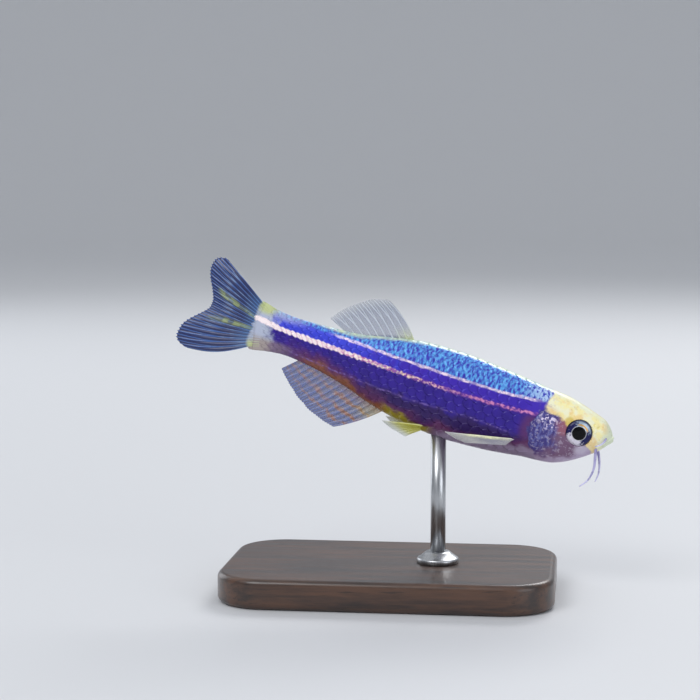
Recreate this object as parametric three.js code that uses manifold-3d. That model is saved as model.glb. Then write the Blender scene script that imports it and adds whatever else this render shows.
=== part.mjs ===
// A striped danio, a small aquarium fish, held nose down on a display stand. Millimetres, +Z up.
// The fish is modelled level in a frame of its own: x forward, y to its left, z up, snout tip at x = 0.
// A place is given there as s, its distance behind the snout, and h, its height above the body's axis.
import * as THREE from "three";
import { mergeVertices } from "three/addons/utils/BufferGeometryUtils.js";
import Module from "manifold-3d";

const wasm = await Module();
wasm.setup();

// Driving dimensions of the fish
const STANDARD_LENGTH = 36.7; // snout tip to the base of the tail fin
const BODY_DEPTH = 8.85;
const BODY_WIDTH = 4.6;
const PITCH = THREE.MathUtils.degToRad(17.8); // nose down
const GAP = 0.25; // between neighbouring nodes

// Body stations, snout to tail: [s, back, belly, half width], as shares of length, depth, depth and width.
const STATIONS = [
  [0.0, 0.13, -0.09, 0.2],
  [0.033, 0.198, -0.185, 0.3],
  [0.06, 0.235, -0.272, 0.365],
  [0.087, 0.267, -0.35, 0.405],
  [0.115, 0.298, -0.413, 0.43],
  [0.142, 0.32, -0.452, 0.447],
  [0.22, 0.35, -0.492, 0.47],
  [0.33, 0.39, -0.555, 0.5],
  [0.44, 0.418, -0.583, 0.49],
  [0.55, 0.4, -0.553, 0.43],
  [0.65, 0.325, -0.47, 0.35],
  [0.73, 0.25, -0.372, 0.28],
  [0.82, 0.213, -0.293, 0.21],
  [0.91, 0.196, -0.256, 0.145],
  [0.96, 0.21, -0.276, 0.105],
  [1.03, 0.262, -0.325, 0.07],
];
const SNOUT_ROUND = 1.4; // length over which the snout is rounded off
const MOUTH_H = 0.15; // height that the snout closes on
const WIDEST_HEAD_H = 0.1; // height of the widest level, at the head and at the trunk
const WIDEST_TRUNK_H = -0.35;
const SECTION_POWER = 2.15; // 2 is an ellipse, more is fuller
const SECTION_SIDES = 28;

// Where the nodes of the body part: the gill opening, then the vent, then the base of the tail fin
const GILL_EDGE = [
  [6.9, 5.2],
  [7.1, 3.1],
  [7.3, 1.3],
  [7.9, 0.1],
  [8.1, -1.2],
  [7.7, -2.6],
  [6.7, -3.55],
  [5.8, -5.2],
];
const VENT_EDGE = [
  [20.5, 5.2],
  [21.3, 0.0],
  [21.1, -6.2],
];
const TAIL_EDGE = [
  [36.5, 3.6],
  [36.9, 1.6],
  [37.15, -0.1],
  [36.9, -2.0],
  [36.4, -4.0],
];

// Head
const EYE = { s: 3.37, h: -0.06, y: 1.38, radius: 1.3, depth: 0.8 };
const PUPIL_RADIUS = 0.68;
const ORBIT_RIM = { width: 0.24, raise: 0.1 };
const MOUTH = { cornerS: 1.3, cornerH: -1.15, slit: 0.18, lip: 0.34, raise: 0.13 };
const NOSTRIL = { s: 1.75, h: 1.0, radius: 0.2, spacing: 0.42 };
const GILL_COVER = {
  front: [
    [6.25, 1.0],
    [5.65, -0.2],
    [5.5, -1.45],
    [6.15, -3.15],
  ],
  top: 1.0,
  bottom: -3.35,
  rear: 9.15,
  raise: 0.17,
};

// Stand
const BASE = { length: 33, width: 21, height: 3, corner: 5, bevel: 0.6 };
const ROD = { radius: 0.75, s: 16.3, collarRadius: 2.1, collarHeight: 0.9 };
const BELLY_CLEARANCE = 12.6; // base top to the lowest part of the belly

const COLOURS = {
  flank: 0x3a2fc0,
  back: 0x3f7fe0,
  head: 0xf0e6a8,
  fin: 0x5b6ea8,
  paired_fin: 0xc9cfb0,
  barbel: 0x8f93c8,
  eye: 0x14141c,
  wood: 0x2a2220,
  steel: 0xb9bcc0,
};

// A smooth curve through [place, value] pairs that makes no bumps between them.
function smoothCurve(pairs) {
  const n = pairs.length;
  const rise = pairs.slice(1).map(([x, y], i) => (y - pairs[i][1]) / (x - pairs[i][0]));
  const slope = pairs.map((_, i) => {
    if (i === 0) return rise[0];
    if (i === n - 1) return rise[n - 2];
    return rise[i - 1] * rise[i] <= 0 ? 0 : (2 * rise[i - 1] * rise[i]) / (rise[i - 1] + rise[i]);
  });
  return (x) => {
    let i = 0;
    while (i < n - 2 && x > pairs[i + 1][0]) i++;
    const [x0, y0] = pairs[i];
    const [x1, y1] = pairs[i + 1];
    const width = x1 - x0;
    const t = THREE.MathUtils.clamp((x - x0) / width, 0, 1);
    const steep = (3 - 2 * t) * t * t;
    const in0 = t * (1 - t) * (1 - t) * slope[i] * width;
    const in1 = t * t * (1 - t) * slope[i + 1] * width;
    return y0 + (y1 - y0) * steep + in0 - in1;
  };
}

const column = (k, scale) => smoothCurve(STATIONS.map((row) => [row[0] * STANDARD_LENGTH, row[k] * scale]));
const backEnvelope = column(1, BODY_DEPTH);
const bellyEnvelope = column(2, BODY_DEPTH);
const widthEnvelope = column(3, BODY_WIDTH);
const widestLevel = smoothCurve([
  [0, MOUTH_H],
  [3.4, WIDEST_HEAD_H],
  [14, WIDEST_TRUNK_H],
  [STANDARD_LENGTH, -0.1],
]);

// How far the snout's rounding has opened at s, from 0 at the tip to 1.
function snoutOpening(s) {
  const t = THREE.MathUtils.clamp(s / SNOUT_ROUND, 0, 1);
  return Math.sqrt(t * (2 - t));
}
const back = (s) => MOUTH_H + (backEnvelope(s) - MOUTH_H) * snoutOpening(s);
const belly = (s) => MOUTH_H + (bellyEnvelope(s) - MOUTH_H) * snoutOpening(s);
const halfWidth = (s) => widthEnvelope(s) * snoutOpening(s);

// Half width of the body at a height, for setting things on its side.
function sideAt(s, h) {
  const level = widestLevel(s);
  const reach = h > level ? back(s) - level : level - belly(s);
  const share = Math.min(1, Math.abs(h - level) / reach);
  return halfWidth(s) * (1 - share ** SECTION_POWER) ** (1 / SECTION_POWER);
}

// One ring of the body's skin, grown outwards by a margin.
function bodyRing(s, grow) {
  const level = widestLevel(s);
  const power = 2 / SECTION_POWER;
  const ring = [];
  for (let i = 0; i < SECTION_SIDES; i++) {
    const turn = (i / SECTION_SIDES) * 2 * Math.PI;
    const c = Math.cos(turn);
    const d = Math.sin(turn);
    const reach = d > 0 ? back(s) - level : level - belly(s);
    ring.push(
      new THREE.Vector3(
        -s,
        Math.sign(c) * Math.abs(c) ** power * (halfWidth(s) + grow),
        level + Math.sign(d) * Math.abs(d) ** power * (reach + grow),
      ),
    );
  }
  return ring;
}

// A closed skin over rings of points, each end closed by a fan to a point.
function loft(rings, startPoint, endPoint) {
  const sides = rings[0].length;
  const points = rings.flat();
  const index = [];
  for (let r = 0; r + 1 < rings.length; r++)
    for (let i = 0; i < sides; i++) {
      const j = (i + 1) % sides;
      const [a, b, c, d] = [r * sides + i, r * sides + j, (r + 1) * sides + i, (r + 1) * sides + j];
      index.push(a, c, b, b, c, d);
    }
  const start = points.push(startPoint) - 1;
  const end = points.push(endPoint) - 1;
  const last = (rings.length - 1) * sides;
  for (let i = 0; i < sides; i++) {
    const j = (i + 1) % sides;
    index.push(start, i, j, end, last + j, last + i);
  }
  return new THREE.BufferGeometry().setFromPoints(points).setIndex(index);
}

// A closed geometry as a solid, faces out.
function solid(geometry) {
  const bare = geometry.clone();
  bare.deleteAttribute("normal");
  bare.deleteAttribute("uv");
  const merged = mergeVertices(bare, 1e-4);
  const triVerts = new Uint32Array(merged.index.array);
  const build = () =>
    new wasm.Manifold(
      new wasm.Mesh({ numProp: 3, vertProperties: merged.attributes.position.array, triVerts }),
    );
  const made = build();
  if (made.volume() > 0) return made;
  for (let i = 0; i < triVerts.length; i += 3)
    [triVerts[i + 1], triVerts[i + 2]] = [triVerts[i + 2], triVerts[i + 1]];
  return build();
}

// The largest closed surface of a solid, as a geometry.
function largest(made) {
  const parts = made.decompose().sort((a, b) => b.volume() - a.volume());
  const { vertProperties, triVerts, numProp } = parts[0].getMesh();
  const positions = new Float32Array((vertProperties.length / numProp) * 3);
  for (let i = 0; i < positions.length / 3; i++)
    positions.set(vertProperties.subarray(i * numProp, i * numProp + 3), i * 3);
  const geometry = new THREE.BufferGeometry();
  geometry.setAttribute("position", new THREE.BufferAttribute(positions, 3));
  geometry.setIndex(new THREE.BufferAttribute(new Uint32Array(triVerts), 1));
  geometry.computeVertexNormals();
  return geometry;
}

// The body's whole skin, from rounded snout to past the base of the tail fin.
function bodySolid(grow) {
  const places = [];
  const SNOUT_RINGS = 6;
  const TRUNK_STEP = 0.9;
  for (let i = 1; i <= SNOUT_RINGS; i++)
    places.push(SNOUT_ROUND * (1 - Math.cos((i / SNOUT_RINGS) * (Math.PI / 2))));
  const end = STANDARD_LENGTH * 1.025;
  const steps = Math.round((end - SNOUT_ROUND) / TRUNK_STEP);
  for (let i = 1; i <= steps; i++) places.push(SNOUT_ROUND + ((end - SNOUT_ROUND) * i) / steps);
  const rings = places.map((s) => bodyRing(s, grow));
  const tip = new THREE.Vector3(grow, 0, MOUTH_H);
  return solid(loft(rings, tip, new THREE.Vector3(-end, 0, widestLevel(end))));
}

// A prism right across the fish, from an outline of [s, h] points.
const ACROSS = 24;
function prism(outline) {
  const shape = new THREE.Shape(outline.map(([s, h]) => new THREE.Vector2(-s, h)));
  const geometry = new THREE.ExtrudeGeometry(shape, { depth: ACROSS, bevelEnabled: false });
  return solid(geometry.translate(0, 0, -ACROSS / 2).rotateX(Math.PI / 2));
}

// The points of a smooth line through [s, h] pairs, moved back along the fish by a shift.
function smoothLine(pairs, shift = 0) {
  const curve = new THREE.SplineCurve(pairs.map(([s, h]) => new THREE.Vector2(s + shift, h)));
  return curve.getPoints(4 * (pairs.length - 1)).map((p) => [p.x, p.y]);
}

// The stretch of the fish between two lines that run from top to bottom.
function stretch(front, rear) {
  return prism([...front, ...rear.slice().reverse()]);
}

// The eyeball: a flattened ball with the pupil standing a little proud of the iris.
function eyeGeometry() {
  const PUPIL_RAISE = 0.07;
  const STEPS = 9;
  const profile = [];
  for (let i = 0; i <= STEPS; i++) {
    const turn = -Math.PI / 2 + (i / STEPS) * Math.PI;
    profile.push(new THREE.Vector2(EYE.radius * Math.cos(turn), EYE.depth * Math.sin(turn)));
  }
  const outer = profile.filter((p) => p.y < 0 || p.x > PUPIL_RADIUS);
  const edge = EYE.depth * Math.sqrt(1 - (PUPIL_RADIUS / EYE.radius) ** 2);
  outer.push(new THREE.Vector2(PUPIL_RADIUS, edge));
  outer.push(new THREE.Vector2(PUPIL_RADIUS * 0.93, edge + PUPIL_RAISE));
  outer.push(new THREE.Vector2(0, EYE.depth + PUPIL_RAISE));
  outer[0].x = 0;
  return new THREE.LatheGeometry(outer, 24);
}

// A place beside the head as a ball, for sockets and pits.
function ball(s, h, y, rx, ry, rz, sides = 20) {
  const geometry = new THREE.SphereGeometry(1, sides, Math.round(sides / 2));
  return solid(geometry.scale(rx, ry, rz).translate(-s, y, h));
}

function headSolid(body, region) {
  let head = body.intersect(region);
  const { front, top, bottom, rear } = GILL_COVER;
  const cover = [...smoothLine(front), [rear, bottom], [rear, top]];
  head = head.add(bodySolid(GILL_COVER.raise).intersect(prism(cover)).intersect(region));
  const lips = mouthPrism(MOUTH.lip, 0);
  head = head.add(bodySolid(MOUTH.raise).intersect(lips));
  head = head.subtract(mouthPrism(MOUTH.slit / 2, -1));
  const proud = bodySolid(ORBIT_RIM.raise);
  for (const side of [-1, 1]) {
    const outer = EYE.radius + GAP + ORBIT_RIM.width;
    const disc = new THREE.CylinderGeometry(outer, outer, 3, 28);
    head = head.add(proud.intersect(solid(disc.translate(-EYE.s, side * 2.4, EYE.h))));
  }
  for (const side of [-1, 1]) {
    const socket = EYE.radius + GAP;
    head = head.subtract(
      ball(EYE.s, EYE.h, side * EYE.y, socket, EYE.depth + GAP, socket, 28),
    );
    const opening = new THREE.CylinderGeometry(socket, socket, 2, 28);
    head = head.subtract(solid(opening.translate(-EYE.s, side * (EYE.y + 1), EYE.h)));
    for (const k of [0, 1]) {
      const s = NOSTRIL.s + k * NOSTRIL.spacing;
      const h = NOSTRIL.h + k * 0.12;
      const r = NOSTRIL.radius;
      head = head.subtract(ball(s, h, side * sideAt(s, h), r, r, r, 10));
    }
  }
  return head;
}

// A slab along the line of the mouth, from past the snout to its corner, of a half thickness.
function mouthPrism(half, beyond) {
  const from = new THREE.Vector2(beyond, MOUTH_H + 0.1 - beyond * 0.7);
  const to = new THREE.Vector2(MOUTH.cornerS, MOUTH.cornerH);
  const along = to.clone().sub(from).normalize();
  const off = new THREE.Vector2(-along.y, along.x).multiplyScalar(half);
  const tip = to.clone().addScaledVector(along, half);
  return prism([
    [from.x + off.x, from.y + off.y],
    [to.x + off.x, to.y + off.y],
    [tip.x, tip.y],
    [to.x - off.x, to.y - off.y],
    [from.x - off.x, from.y - off.y],
  ]);
}

// A fin: a thin web over a fan of rays that stand up as ridges on both faces.
// place(u, v) is a point of its middle surface, u from the first ray to the last and v from root to tip.
function finSolid({ place, rays, steps, web, webTip, ridge, ridgeTip, ragged = 0 }) {
  const columns = [];
  const FOOT = 0.28; // half width of a ridge's foot, as a share of the spacing of the rays
  const spacing = 1 / (rays - 1);
  for (let k = 0; k < rays; k++) {
    if (k > 0) columns.push({ u: (k - FOOT) * spacing, ray: 0 });
    columns.push({ u: k * spacing, ray: 1 });
    if (k < rays - 1) columns.push({ u: (k + FOOT) * spacing, ray: 0 });
  }
  const rows = steps + 1;
  const STEP = 1e-3;
  const near = [];
  const far = [];
  for (const { u, ray } of columns)
    for (let j = 0; j < rows; j++) {
      const v = (j / steps) * (ray ? 1 : 1 - ragged);
      const centre = place(u, v);
      const u0 = Math.max(0, u - STEP);
      const v0 = Math.max(0, v - STEP);
      const across = place(Math.min(1, u0 + 2 * STEP), v).sub(place(u0, v));
      const along = place(u, Math.min(1, v0 + 2 * STEP)).sub(place(u, v0));
      const normal = across.cross(along).normalize();
      const half = THREE.MathUtils.lerp(ray ? ridge : web, ray ? ridgeTip : webTip, v) / 2;
      near.push(centre.clone().addScaledVector(normal, half));
      far.push(centre.clone().addScaledVector(normal, -half));
    }
  const count = near.length;
  const index = [];
  const quad = (a, b, c, d) => index.push(a, b, c, a, c, d);
  for (let i = 0; i + 1 < columns.length; i++)
    for (let j = 0; j + 1 < rows; j++) {
      const [a, b, c, d] = [i * rows + j, (i + 1) * rows + j, (i + 1) * rows + j + 1, i * rows + j + 1];
      quad(a, b, c, d);
      index.push(count + a, count + c, count + b, count + a, count + d, count + c);
    }
  const rim = [];
  for (let j = 0; j < rows; j++) rim.push(j);
  for (let i = 1; i < columns.length; i++) rim.push(i * rows + rows - 1);
  for (let j = rows - 2; j >= 0; j--) rim.push((columns.length - 1) * rows + j);
  for (let i = columns.length - 2; i > 0; i--) rim.push(i * rows);
  rim.forEach((a, k) => {
    const b = rim[(k + 1) % rim.length];
    quad(a, b, count + b, count + a);
  });
  return solid(new THREE.BufferGeometry().setFromPoints([...near, ...far]).setIndex(index));
}

// A point of the middle plane, at s and h, set off to the left by y.
const at = (s, h, y = 0) => new THREE.Vector3(-s, y, h);
const lerp = THREE.MathUtils.lerp;

// The middle surface of a fin on the fish's middle plane: its root follows the body from s0 to s1, sunk in,
// and its margin is a bowed line from the first ray's tip to the last one's. The rays bow forward by bow.
function medianFin({ s0, s1, edge, sink, margin, bow }) {
  const rim = new THREE.QuadraticBezierCurve(...margin.map(([s, h]) => new THREE.Vector2(s, h)));
  return (u, v) => {
    const s = lerp(s0, s1, u);
    const root = new THREE.Vector2(s, edge(s) - Math.sign(edge(s)) * sink);
    const tip = rim.getPoint(u);
    const run = tip.clone().sub(root);
    const off = new THREE.Vector2(run.y, -run.x).normalize();
    if (off.x > 0) off.negate();
    const p = root.lerp(tip, v).addScaledVector(off, bow * (1 - u) * 4 * v * (1 - v));
    return at(p.x, p.y);
  };
}

const DORSAL_FIN = {
  place: medianFin({
    s0: 21.2,
    s1: 27.3,
    edge: back,
    sink: 0.7,
    margin: [
      [25.4, 6.4],
      [28.3, 5.75],
      [30.3, 2.75],
    ],
    bow: 0.4,
  }),
  rays: 9,
  steps: 7,
};

const ANAL_FIN = {
  place: medianFin({
    s0: 21.9,
    s1: 31.4,
    edge: belly,
    sink: 0.7,
    margin: [
      [26.7, -7.6],
      [30.6, -7.0],
      [33.4, -3.65],
    ],
    bow: 0.25,
  }),
  rays: 12,
  steps: 7,
};

// The tail fin: a forked fan, its upper lobe swung a little away to the left as in a stroke of the tail.
const TAIL_FIN = {
  rootTop: 2.05,
  rootBottom: -2.5,
  tilt: THREE.MathUtils.degToRad(5.5),
  spread: THREE.MathUtils.degToRad(25),
  notch: 4.9,
  upperLobe: 6.9,
  lowerLobe: 7.9,
  lobeAt: 0.78,
  outerDrop: 0.15,
  outerBow: [0.1, 0.55], // how far the top and bottom edges bulge
  swing: 1.5,
};
const tailEdge = smoothCurve(TAIL_EDGE.map(([s, h]) => [-h, s]));
function tailPlace(u, v) {
  const fin = TAIL_FIN;
  const h = lerp(fin.rootTop, fin.rootBottom, u);
  const root = new THREE.Vector2(tailEdge(-h) + GAP, h);
  const away = Math.abs(2 * u - 1);
  const rise = Math.sin((Math.min(1, away / fin.lobeAt) * Math.PI) / 2) ** 2;
  const past = Math.max(0, (away - fin.lobeAt) / (1 - fin.lobeAt));
  const lobe = u < 0.5 ? fin.upperLobe : fin.lowerLobe;
  const length = lerp(fin.notch, lobe, rise) * (1 - fin.outerDrop * past * past);
  const angle = fin.tilt + fin.spread * (1 - 2 * u);
  const reach = length * v;
  const swing = fin.swing * v * v * (0.25 + 0.75 * (1 - u));
  const bulge = Math.sign(0.5 - u) * fin.outerBow[u < 0.5 ? 0 : 1] * away ** 2 * Math.sin(Math.PI * v);
  return at(root.x + reach * Math.cos(angle), root.y + reach * Math.sin(angle) + bulge, swing);
}

// A paired fin on the left side, on a fan of rays from a short root, with a bend just outside the body.
// first and last are the tips of the outer and inner rays, as s, h and y.
function pairedPlace({ rootFirst, rootLast, first, last, belly: bulge, leave }) {
  const mix = (a, b, t) => a.map((value, i) => lerp(value, b[i], t));
  return (u, v) => {
    const root = mix(rootFirst, rootLast, u);
    const tip = mix(first, last, u);
    const out = Math.sin(Math.PI * u) * bulge;
    const y = lerp(root[2], tip[2], 1 - (1 - v) ** leave);
    return at(lerp(root[0], tip[0] + out, v), lerp(root[1], tip[1], v), y);
  };
}

const PECTORAL_FIN = {
  place: pairedPlace({
    rootFirst: [8.35, -2.5, 1.35],
    rootLast: [8.6, -3.2, 1.05],
    first: [15.9, -3.95, 3.1],
    last: [13.7, -4.55, 1.95],
    belly: 0.35,
    leave: 2.6,
  }),
  rays: 7,
  steps: 8,
};

const PELVIC_FIN = {
  place: pairedPlace({
    rootFirst: [17.2, -4.2, 0.95],
    rootLast: [17.6, -4.5, 0.35],
    first: [22.2, -5.1, 1.75],
    last: [19.5, -6.05, 0.85],
    belly: 0.3,
    leave: 1.6,
  }),
  rays: 6,
  steps: 6,
};

// Thickness of the web and of the rays' ridges over it, at root and tip
const THIN = { web: 0.5, webTip: 0.26, ridge: 0.74, ridgeTip: 0.34, ragged: 0.04 };
const THIN_PAIRED = { web: 0.5, webTip: 0.26, ridge: 0.68, ridgeTip: 0.32, ragged: 0.03 };

// A barbel: a thin tapered feeler along a smooth line through [s, h, y] points.
function barbelSolid(points, rootRadius, tipRadius) {
  const SIDES = 8;
  const STEPS = 14;
  const curve = new THREE.CatmullRomCurve3(points.map(([s, h, y]) => at(s, h, y)));
  const frames = curve.computeFrenetFrames(STEPS, false);
  const rings = [];
  for (let k = 0; k <= STEPS; k++) {
    const centre = curve.getPointAt(k / STEPS);
    const radius = lerp(rootRadius, tipRadius, k / STEPS);
    const ring = [];
    for (let i = 0; i < SIDES; i++) {
      const turn = (i / SIDES) * 2 * Math.PI;
      ring.push(
        centre
          .clone()
          .addScaledVector(frames.normals[k], radius * Math.cos(turn))
          .addScaledVector(frames.binormals[k], radius * Math.sin(turn)),
      );
    }
    rings.push(ring);
  }
  return solid(loft(rings, curve.getPointAt(0), curve.getPointAt(1)));
}

// The feelers of each side. The long ones hang from the corners of the mouth, the near one curling back.
const LONG_BARBEL = {
  right: [
    [1.35, -0.95, -0.7],
    [1.15, -1.7, -1.5],
    [0.9, -3.0, -1.75],
    [1.1, -4.2, -1.75],
    [1.7, -5.1, -1.6],
  ],
  left: [
    [1.35, -0.95, 0.7],
    [0.85, -1.7, 1.45],
    [0.35, -2.8, 1.8],
    [0.12, -3.8, 1.85],
    [0.2, -4.7, 1.8],
  ],
};
const SHORT_BARBEL = [
  [0.75, 0.3, 0.5],
  [0.7, 0.0, 1.2],
  [0.95, -0.45, 1.55],
  [1.5, -0.85, 1.8],
];
const BARBEL_RADIUS = { root: 0.25, tip: 0.11 };

// Builds the nodes of the fish and its stand.
const group = new THREE.Group();
const fish = new THREE.Group();
group.add(fish);

function addMesh(parent, name, geometry, colour, roughness = 0.45, metalness = 0) {
  const material = new THREE.MeshStandardMaterial({ color: colour, roughness, metalness });
  const mesh = new THREE.Mesh(geometry, material);
  mesh.name = name;
  parent.add(mesh);
  return mesh;
}

const FAR = 60;
const body = bodySolid(0);
const clearBody = bodySolid(GAP);
const gillFront = smoothLine(GILL_EDGE);
const headRegion = stretch([[-FAR, 5.2], [-FAR, -5.2]], gillFront);
const trunkRegion = stretch(smoothLine(GILL_EDGE, GAP), smoothLine(VENT_EDGE));
const tailRegion = stretch(smoothLine(VENT_EDGE, GAP), smoothLine(TAIL_EDGE));

addMesh(fish, "head", largest(headSolid(body, headRegion)), COLOURS.head);
addMesh(fish, "trunk", largest(body.intersect(trunkRegion)), COLOURS.flank);
addMesh(fish, "tail_stalk", largest(body.intersect(tailRegion)), COLOURS.back);
addMesh(fish, "dorsal_fin", largest(finSolid({ ...DORSAL_FIN, ...THIN }).subtract(clearBody)), COLOURS.fin);
addMesh(fish, "anal_fin", largest(finSolid({ ...ANAL_FIN, ...THIN }).subtract(clearBody)), COLOURS.fin);
const tail = finSolid({ place: tailPlace, rays: 15, steps: 8, ...THIN });
addMesh(fish, "tail_fin", largest(tail), COLOURS.fin);

for (const [name, side] of [["left", 1], ["right", -1]]) {
  const mirror = (made) => (side > 0 ? made : made.mirror([0, 1, 0]));
  const eye = eyeGeometry();
  if (side < 0) eye.rotateX(Math.PI);
  addMesh(fish, `eye_${name}`, eye.translate(-EYE.s, side * EYE.y, EYE.h), COLOURS.eye, 0.1);
  const pectoral = finSolid({ ...PECTORAL_FIN, ...THIN_PAIRED }).subtract(clearBody);
  addMesh(fish, `pectoral_fin_${name}`, largest(mirror(pectoral)), COLOURS.paired_fin);
  const pelvic = finSolid({ ...PELVIC_FIN, ...THIN_PAIRED }).subtract(clearBody);
  addMesh(fish, `pelvic_fin_${name}`, largest(mirror(pelvic)), COLOURS.paired_fin);
  const { root, tip } = BARBEL_RADIUS;
  const longOne = barbelSolid(LONG_BARBEL[name], root, tip).subtract(clearBody);
  addMesh(fish, `long_barbel_${name}`, largest(longOne), COLOURS.barbel);
  const shortOne = barbelSolid(SHORT_BARBEL, root, tip).subtract(clearBody);
  addMesh(fish, `short_barbel_${name}`, largest(mirror(shortOne)), COLOURS.barbel);
}

// Pitches the fish nose down about its middle, and lifts it over the base.
fish.rotation.y = PITCH;
fish.updateMatrixWorld(true);
const reach = new THREE.Box3().setFromObject(fish, true);
const bellyPoint = at(ROD.s, belly(ROD.s)).applyMatrix4(fish.matrixWorld);
const baseTop = BASE.height;
fish.position.set(
  -(reach.min.x + reach.max.x) / 2,
  0,
  baseTop + BELLY_CLEARANCE - bellyPoint.z,
);
fish.updateMatrixWorld(true);

// The base: a flat block with round corners and a small bevel, on a flat underside.
function baseGeometry() {
  const { length, width, height, corner, bevel } = BASE;
  const [x, y] = [length / 2 - bevel, width / 2 - bevel];
  const shape = new THREE.Shape();
  shape.moveTo(-x + corner, -y);
  shape.lineTo(x - corner, -y);
  shape.absarc(x - corner, -y + corner, corner, -Math.PI / 2, 0);
  shape.lineTo(x, y - corner);
  shape.absarc(x - corner, y - corner, corner, 0, Math.PI / 2);
  shape.lineTo(-x + corner, y);
  shape.absarc(-x + corner, y - corner, corner, Math.PI / 2, Math.PI);
  shape.lineTo(-x, -y + corner);
  shape.absarc(-x + corner, -y + corner, corner, Math.PI, Math.PI * 1.5);
  const geometry = new THREE.ExtrudeGeometry(shape, {
    depth: height - 2 * bevel,
    bevelThickness: bevel,
    bevelSize: bevel,
    bevelSegments: 2,
    curveSegments: 6,
  });
  return geometry.translate(0, 0, bevel);
}

const rodX = at(ROD.s, belly(ROD.s)).applyMatrix4(fish.matrixWorld).x;
addMesh(group, "stand_base", largest(solid(baseGeometry())), COLOURS.wood, 0.5);

const collar = new THREE.CylinderGeometry(ROD.collarRadius * 0.8, ROD.collarRadius, ROD.collarHeight, 24);
collar.rotateX(Math.PI / 2);
const collarBase = baseTop + GAP;
collar.translate(rodX, 0, collarBase + ROD.collarHeight / 2);
addMesh(group, "stand_collar", largest(solid(collar)), COLOURS.steel, 0.3, 0.9);

const rodFoot = collarBase + ROD.collarHeight + GAP;
const rodLength = BELLY_CLEARANCE + 2;
const rod = new THREE.CylinderGeometry(ROD.radius, ROD.radius, rodLength, 16);
rod.rotateX(Math.PI / 2).translate(rodX, 0, rodFoot + rodLength / 2);
const placedBody = clearBody.transform(fish.matrixWorld.toArray());
addMesh(group, "stand_rod", largest(solid(rod).subtract(placedBody)), COLOURS.steel, 0.3, 0.9);

export default group;
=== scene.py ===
# The looks of a life-size zebra danio that swims nose down over a plain display stand.
# The fish is worked out level and in millimetres: s is the distance behind the snout, h the height over the
# body's axis and y the distance to the fish's left. place() turns such a place into the frame's metres.
import functools
import random
from math import copysign, cos, exp, hypot, pi, radians, sin, sqrt

import bpy
from mathutils import Matrix, Vector


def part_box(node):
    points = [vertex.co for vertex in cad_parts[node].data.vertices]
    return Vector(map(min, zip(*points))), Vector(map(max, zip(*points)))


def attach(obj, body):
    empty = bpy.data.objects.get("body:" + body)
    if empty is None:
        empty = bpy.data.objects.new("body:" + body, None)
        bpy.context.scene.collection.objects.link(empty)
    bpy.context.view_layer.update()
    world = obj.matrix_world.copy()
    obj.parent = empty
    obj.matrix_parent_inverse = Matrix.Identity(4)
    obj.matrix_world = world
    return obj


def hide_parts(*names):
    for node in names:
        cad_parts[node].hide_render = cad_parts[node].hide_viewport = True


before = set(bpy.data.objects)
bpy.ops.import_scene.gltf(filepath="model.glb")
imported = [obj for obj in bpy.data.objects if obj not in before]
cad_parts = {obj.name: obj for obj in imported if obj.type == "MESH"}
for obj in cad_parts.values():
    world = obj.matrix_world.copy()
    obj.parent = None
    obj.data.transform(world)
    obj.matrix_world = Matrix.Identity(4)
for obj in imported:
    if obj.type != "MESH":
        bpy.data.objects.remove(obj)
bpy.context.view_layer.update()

MM = 0.001
BODY = "root"
SIDE_WORDS = (("left", 1), ("right", -1))

# The fish's build, as in the solids
STANDARD_LENGTH = 36.7
BODY_DEPTH = 8.85
BODY_WIDTH = 4.6
PITCH = radians(17.8)
STATIONS = [
    (0.0, 0.13, -0.09, 0.2),
    (0.033, 0.198, -0.185, 0.3),
    (0.06, 0.235, -0.272, 0.365),
    (0.087, 0.267, -0.35, 0.405),
    (0.115, 0.298, -0.413, 0.43),
    (0.142, 0.32, -0.452, 0.447),
    (0.22, 0.35, -0.492, 0.47),
    (0.33, 0.39, -0.555, 0.5),
    (0.44, 0.418, -0.583, 0.49),
    (0.55, 0.4, -0.553, 0.43),
    (0.65, 0.325, -0.47, 0.35),
    (0.73, 0.25, -0.372, 0.28),
    (0.82, 0.213, -0.293, 0.21),
    (0.91, 0.196, -0.256, 0.145),
    (0.96, 0.21, -0.276, 0.105),
    (1.03, 0.262, -0.325, 0.07),
]
SNOUT_ROUND = 1.4
MOUTH_H = 0.15
SECTION_POWER = 2.15
EYE_S, EYE_H, EYE_RADIUS = 3.37, -0.06, 1.3
GILL_EDGE = [(6.9, 5.2), (7.1, 3.1), (7.3, 1.3), (7.9, 0.1), (8.1, -1.2), (7.7, -2.6), (6.7, -3.55),
             (5.8, -5.2)]
TAIL_EDGE = [(36.5, 3.6), (36.9, 1.6), (37.15, -0.1), (36.9, -2.0), (36.4, -4.0)]
TAIL_END = 37.15  # where the tail stalk ends at half height

# The markings: the heights of the three stripes and of the cap's lower edge, along the body
STRIPE_1 = [(6.5, 1.85), (8.2, 1.7), (12.2, 1.4), (16.2, 1.32), (22.2, 1.32), (29.2, 1.38), (33, 1.42)]
STRIPE_2 = [(7.5, 0.5), (8.2, 0.38), (12.2, 0.08), (16.2, -0.04), (20.2, -0.02), (24.2, 0.04), (28.2, 0.12),
            (32.2, 0.15), (35.2, 0.26), (37, 0.5)]
STRIPE_3 = [(8, -2.2), (14.2, -2.0), (18.2, -2.15), (22.2, -2.2), (28.2, -2.0), (33.7, -1.6)]
CAP_EDGE = [(0, -1.9), (1.2, -1.75), (2.1, -1.3), (3.3, 0.2), (4.6, 0.12), (5.2, 0.55), (6.0, 0.95),
            (7.4, 1.3)]

COAT_DEPTH = 0.05  # how far the skin lies inside the scales' outline


def mix(a, b, t):
    return a + (b - a) * t


def ease(value, low, high):
    """0 at low, 1 at high and a smooth rise between them."""
    t = min(1.0, max(0.0, (value - low) / (high - low)))
    return t * t * (3 - 2 * t)


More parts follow.
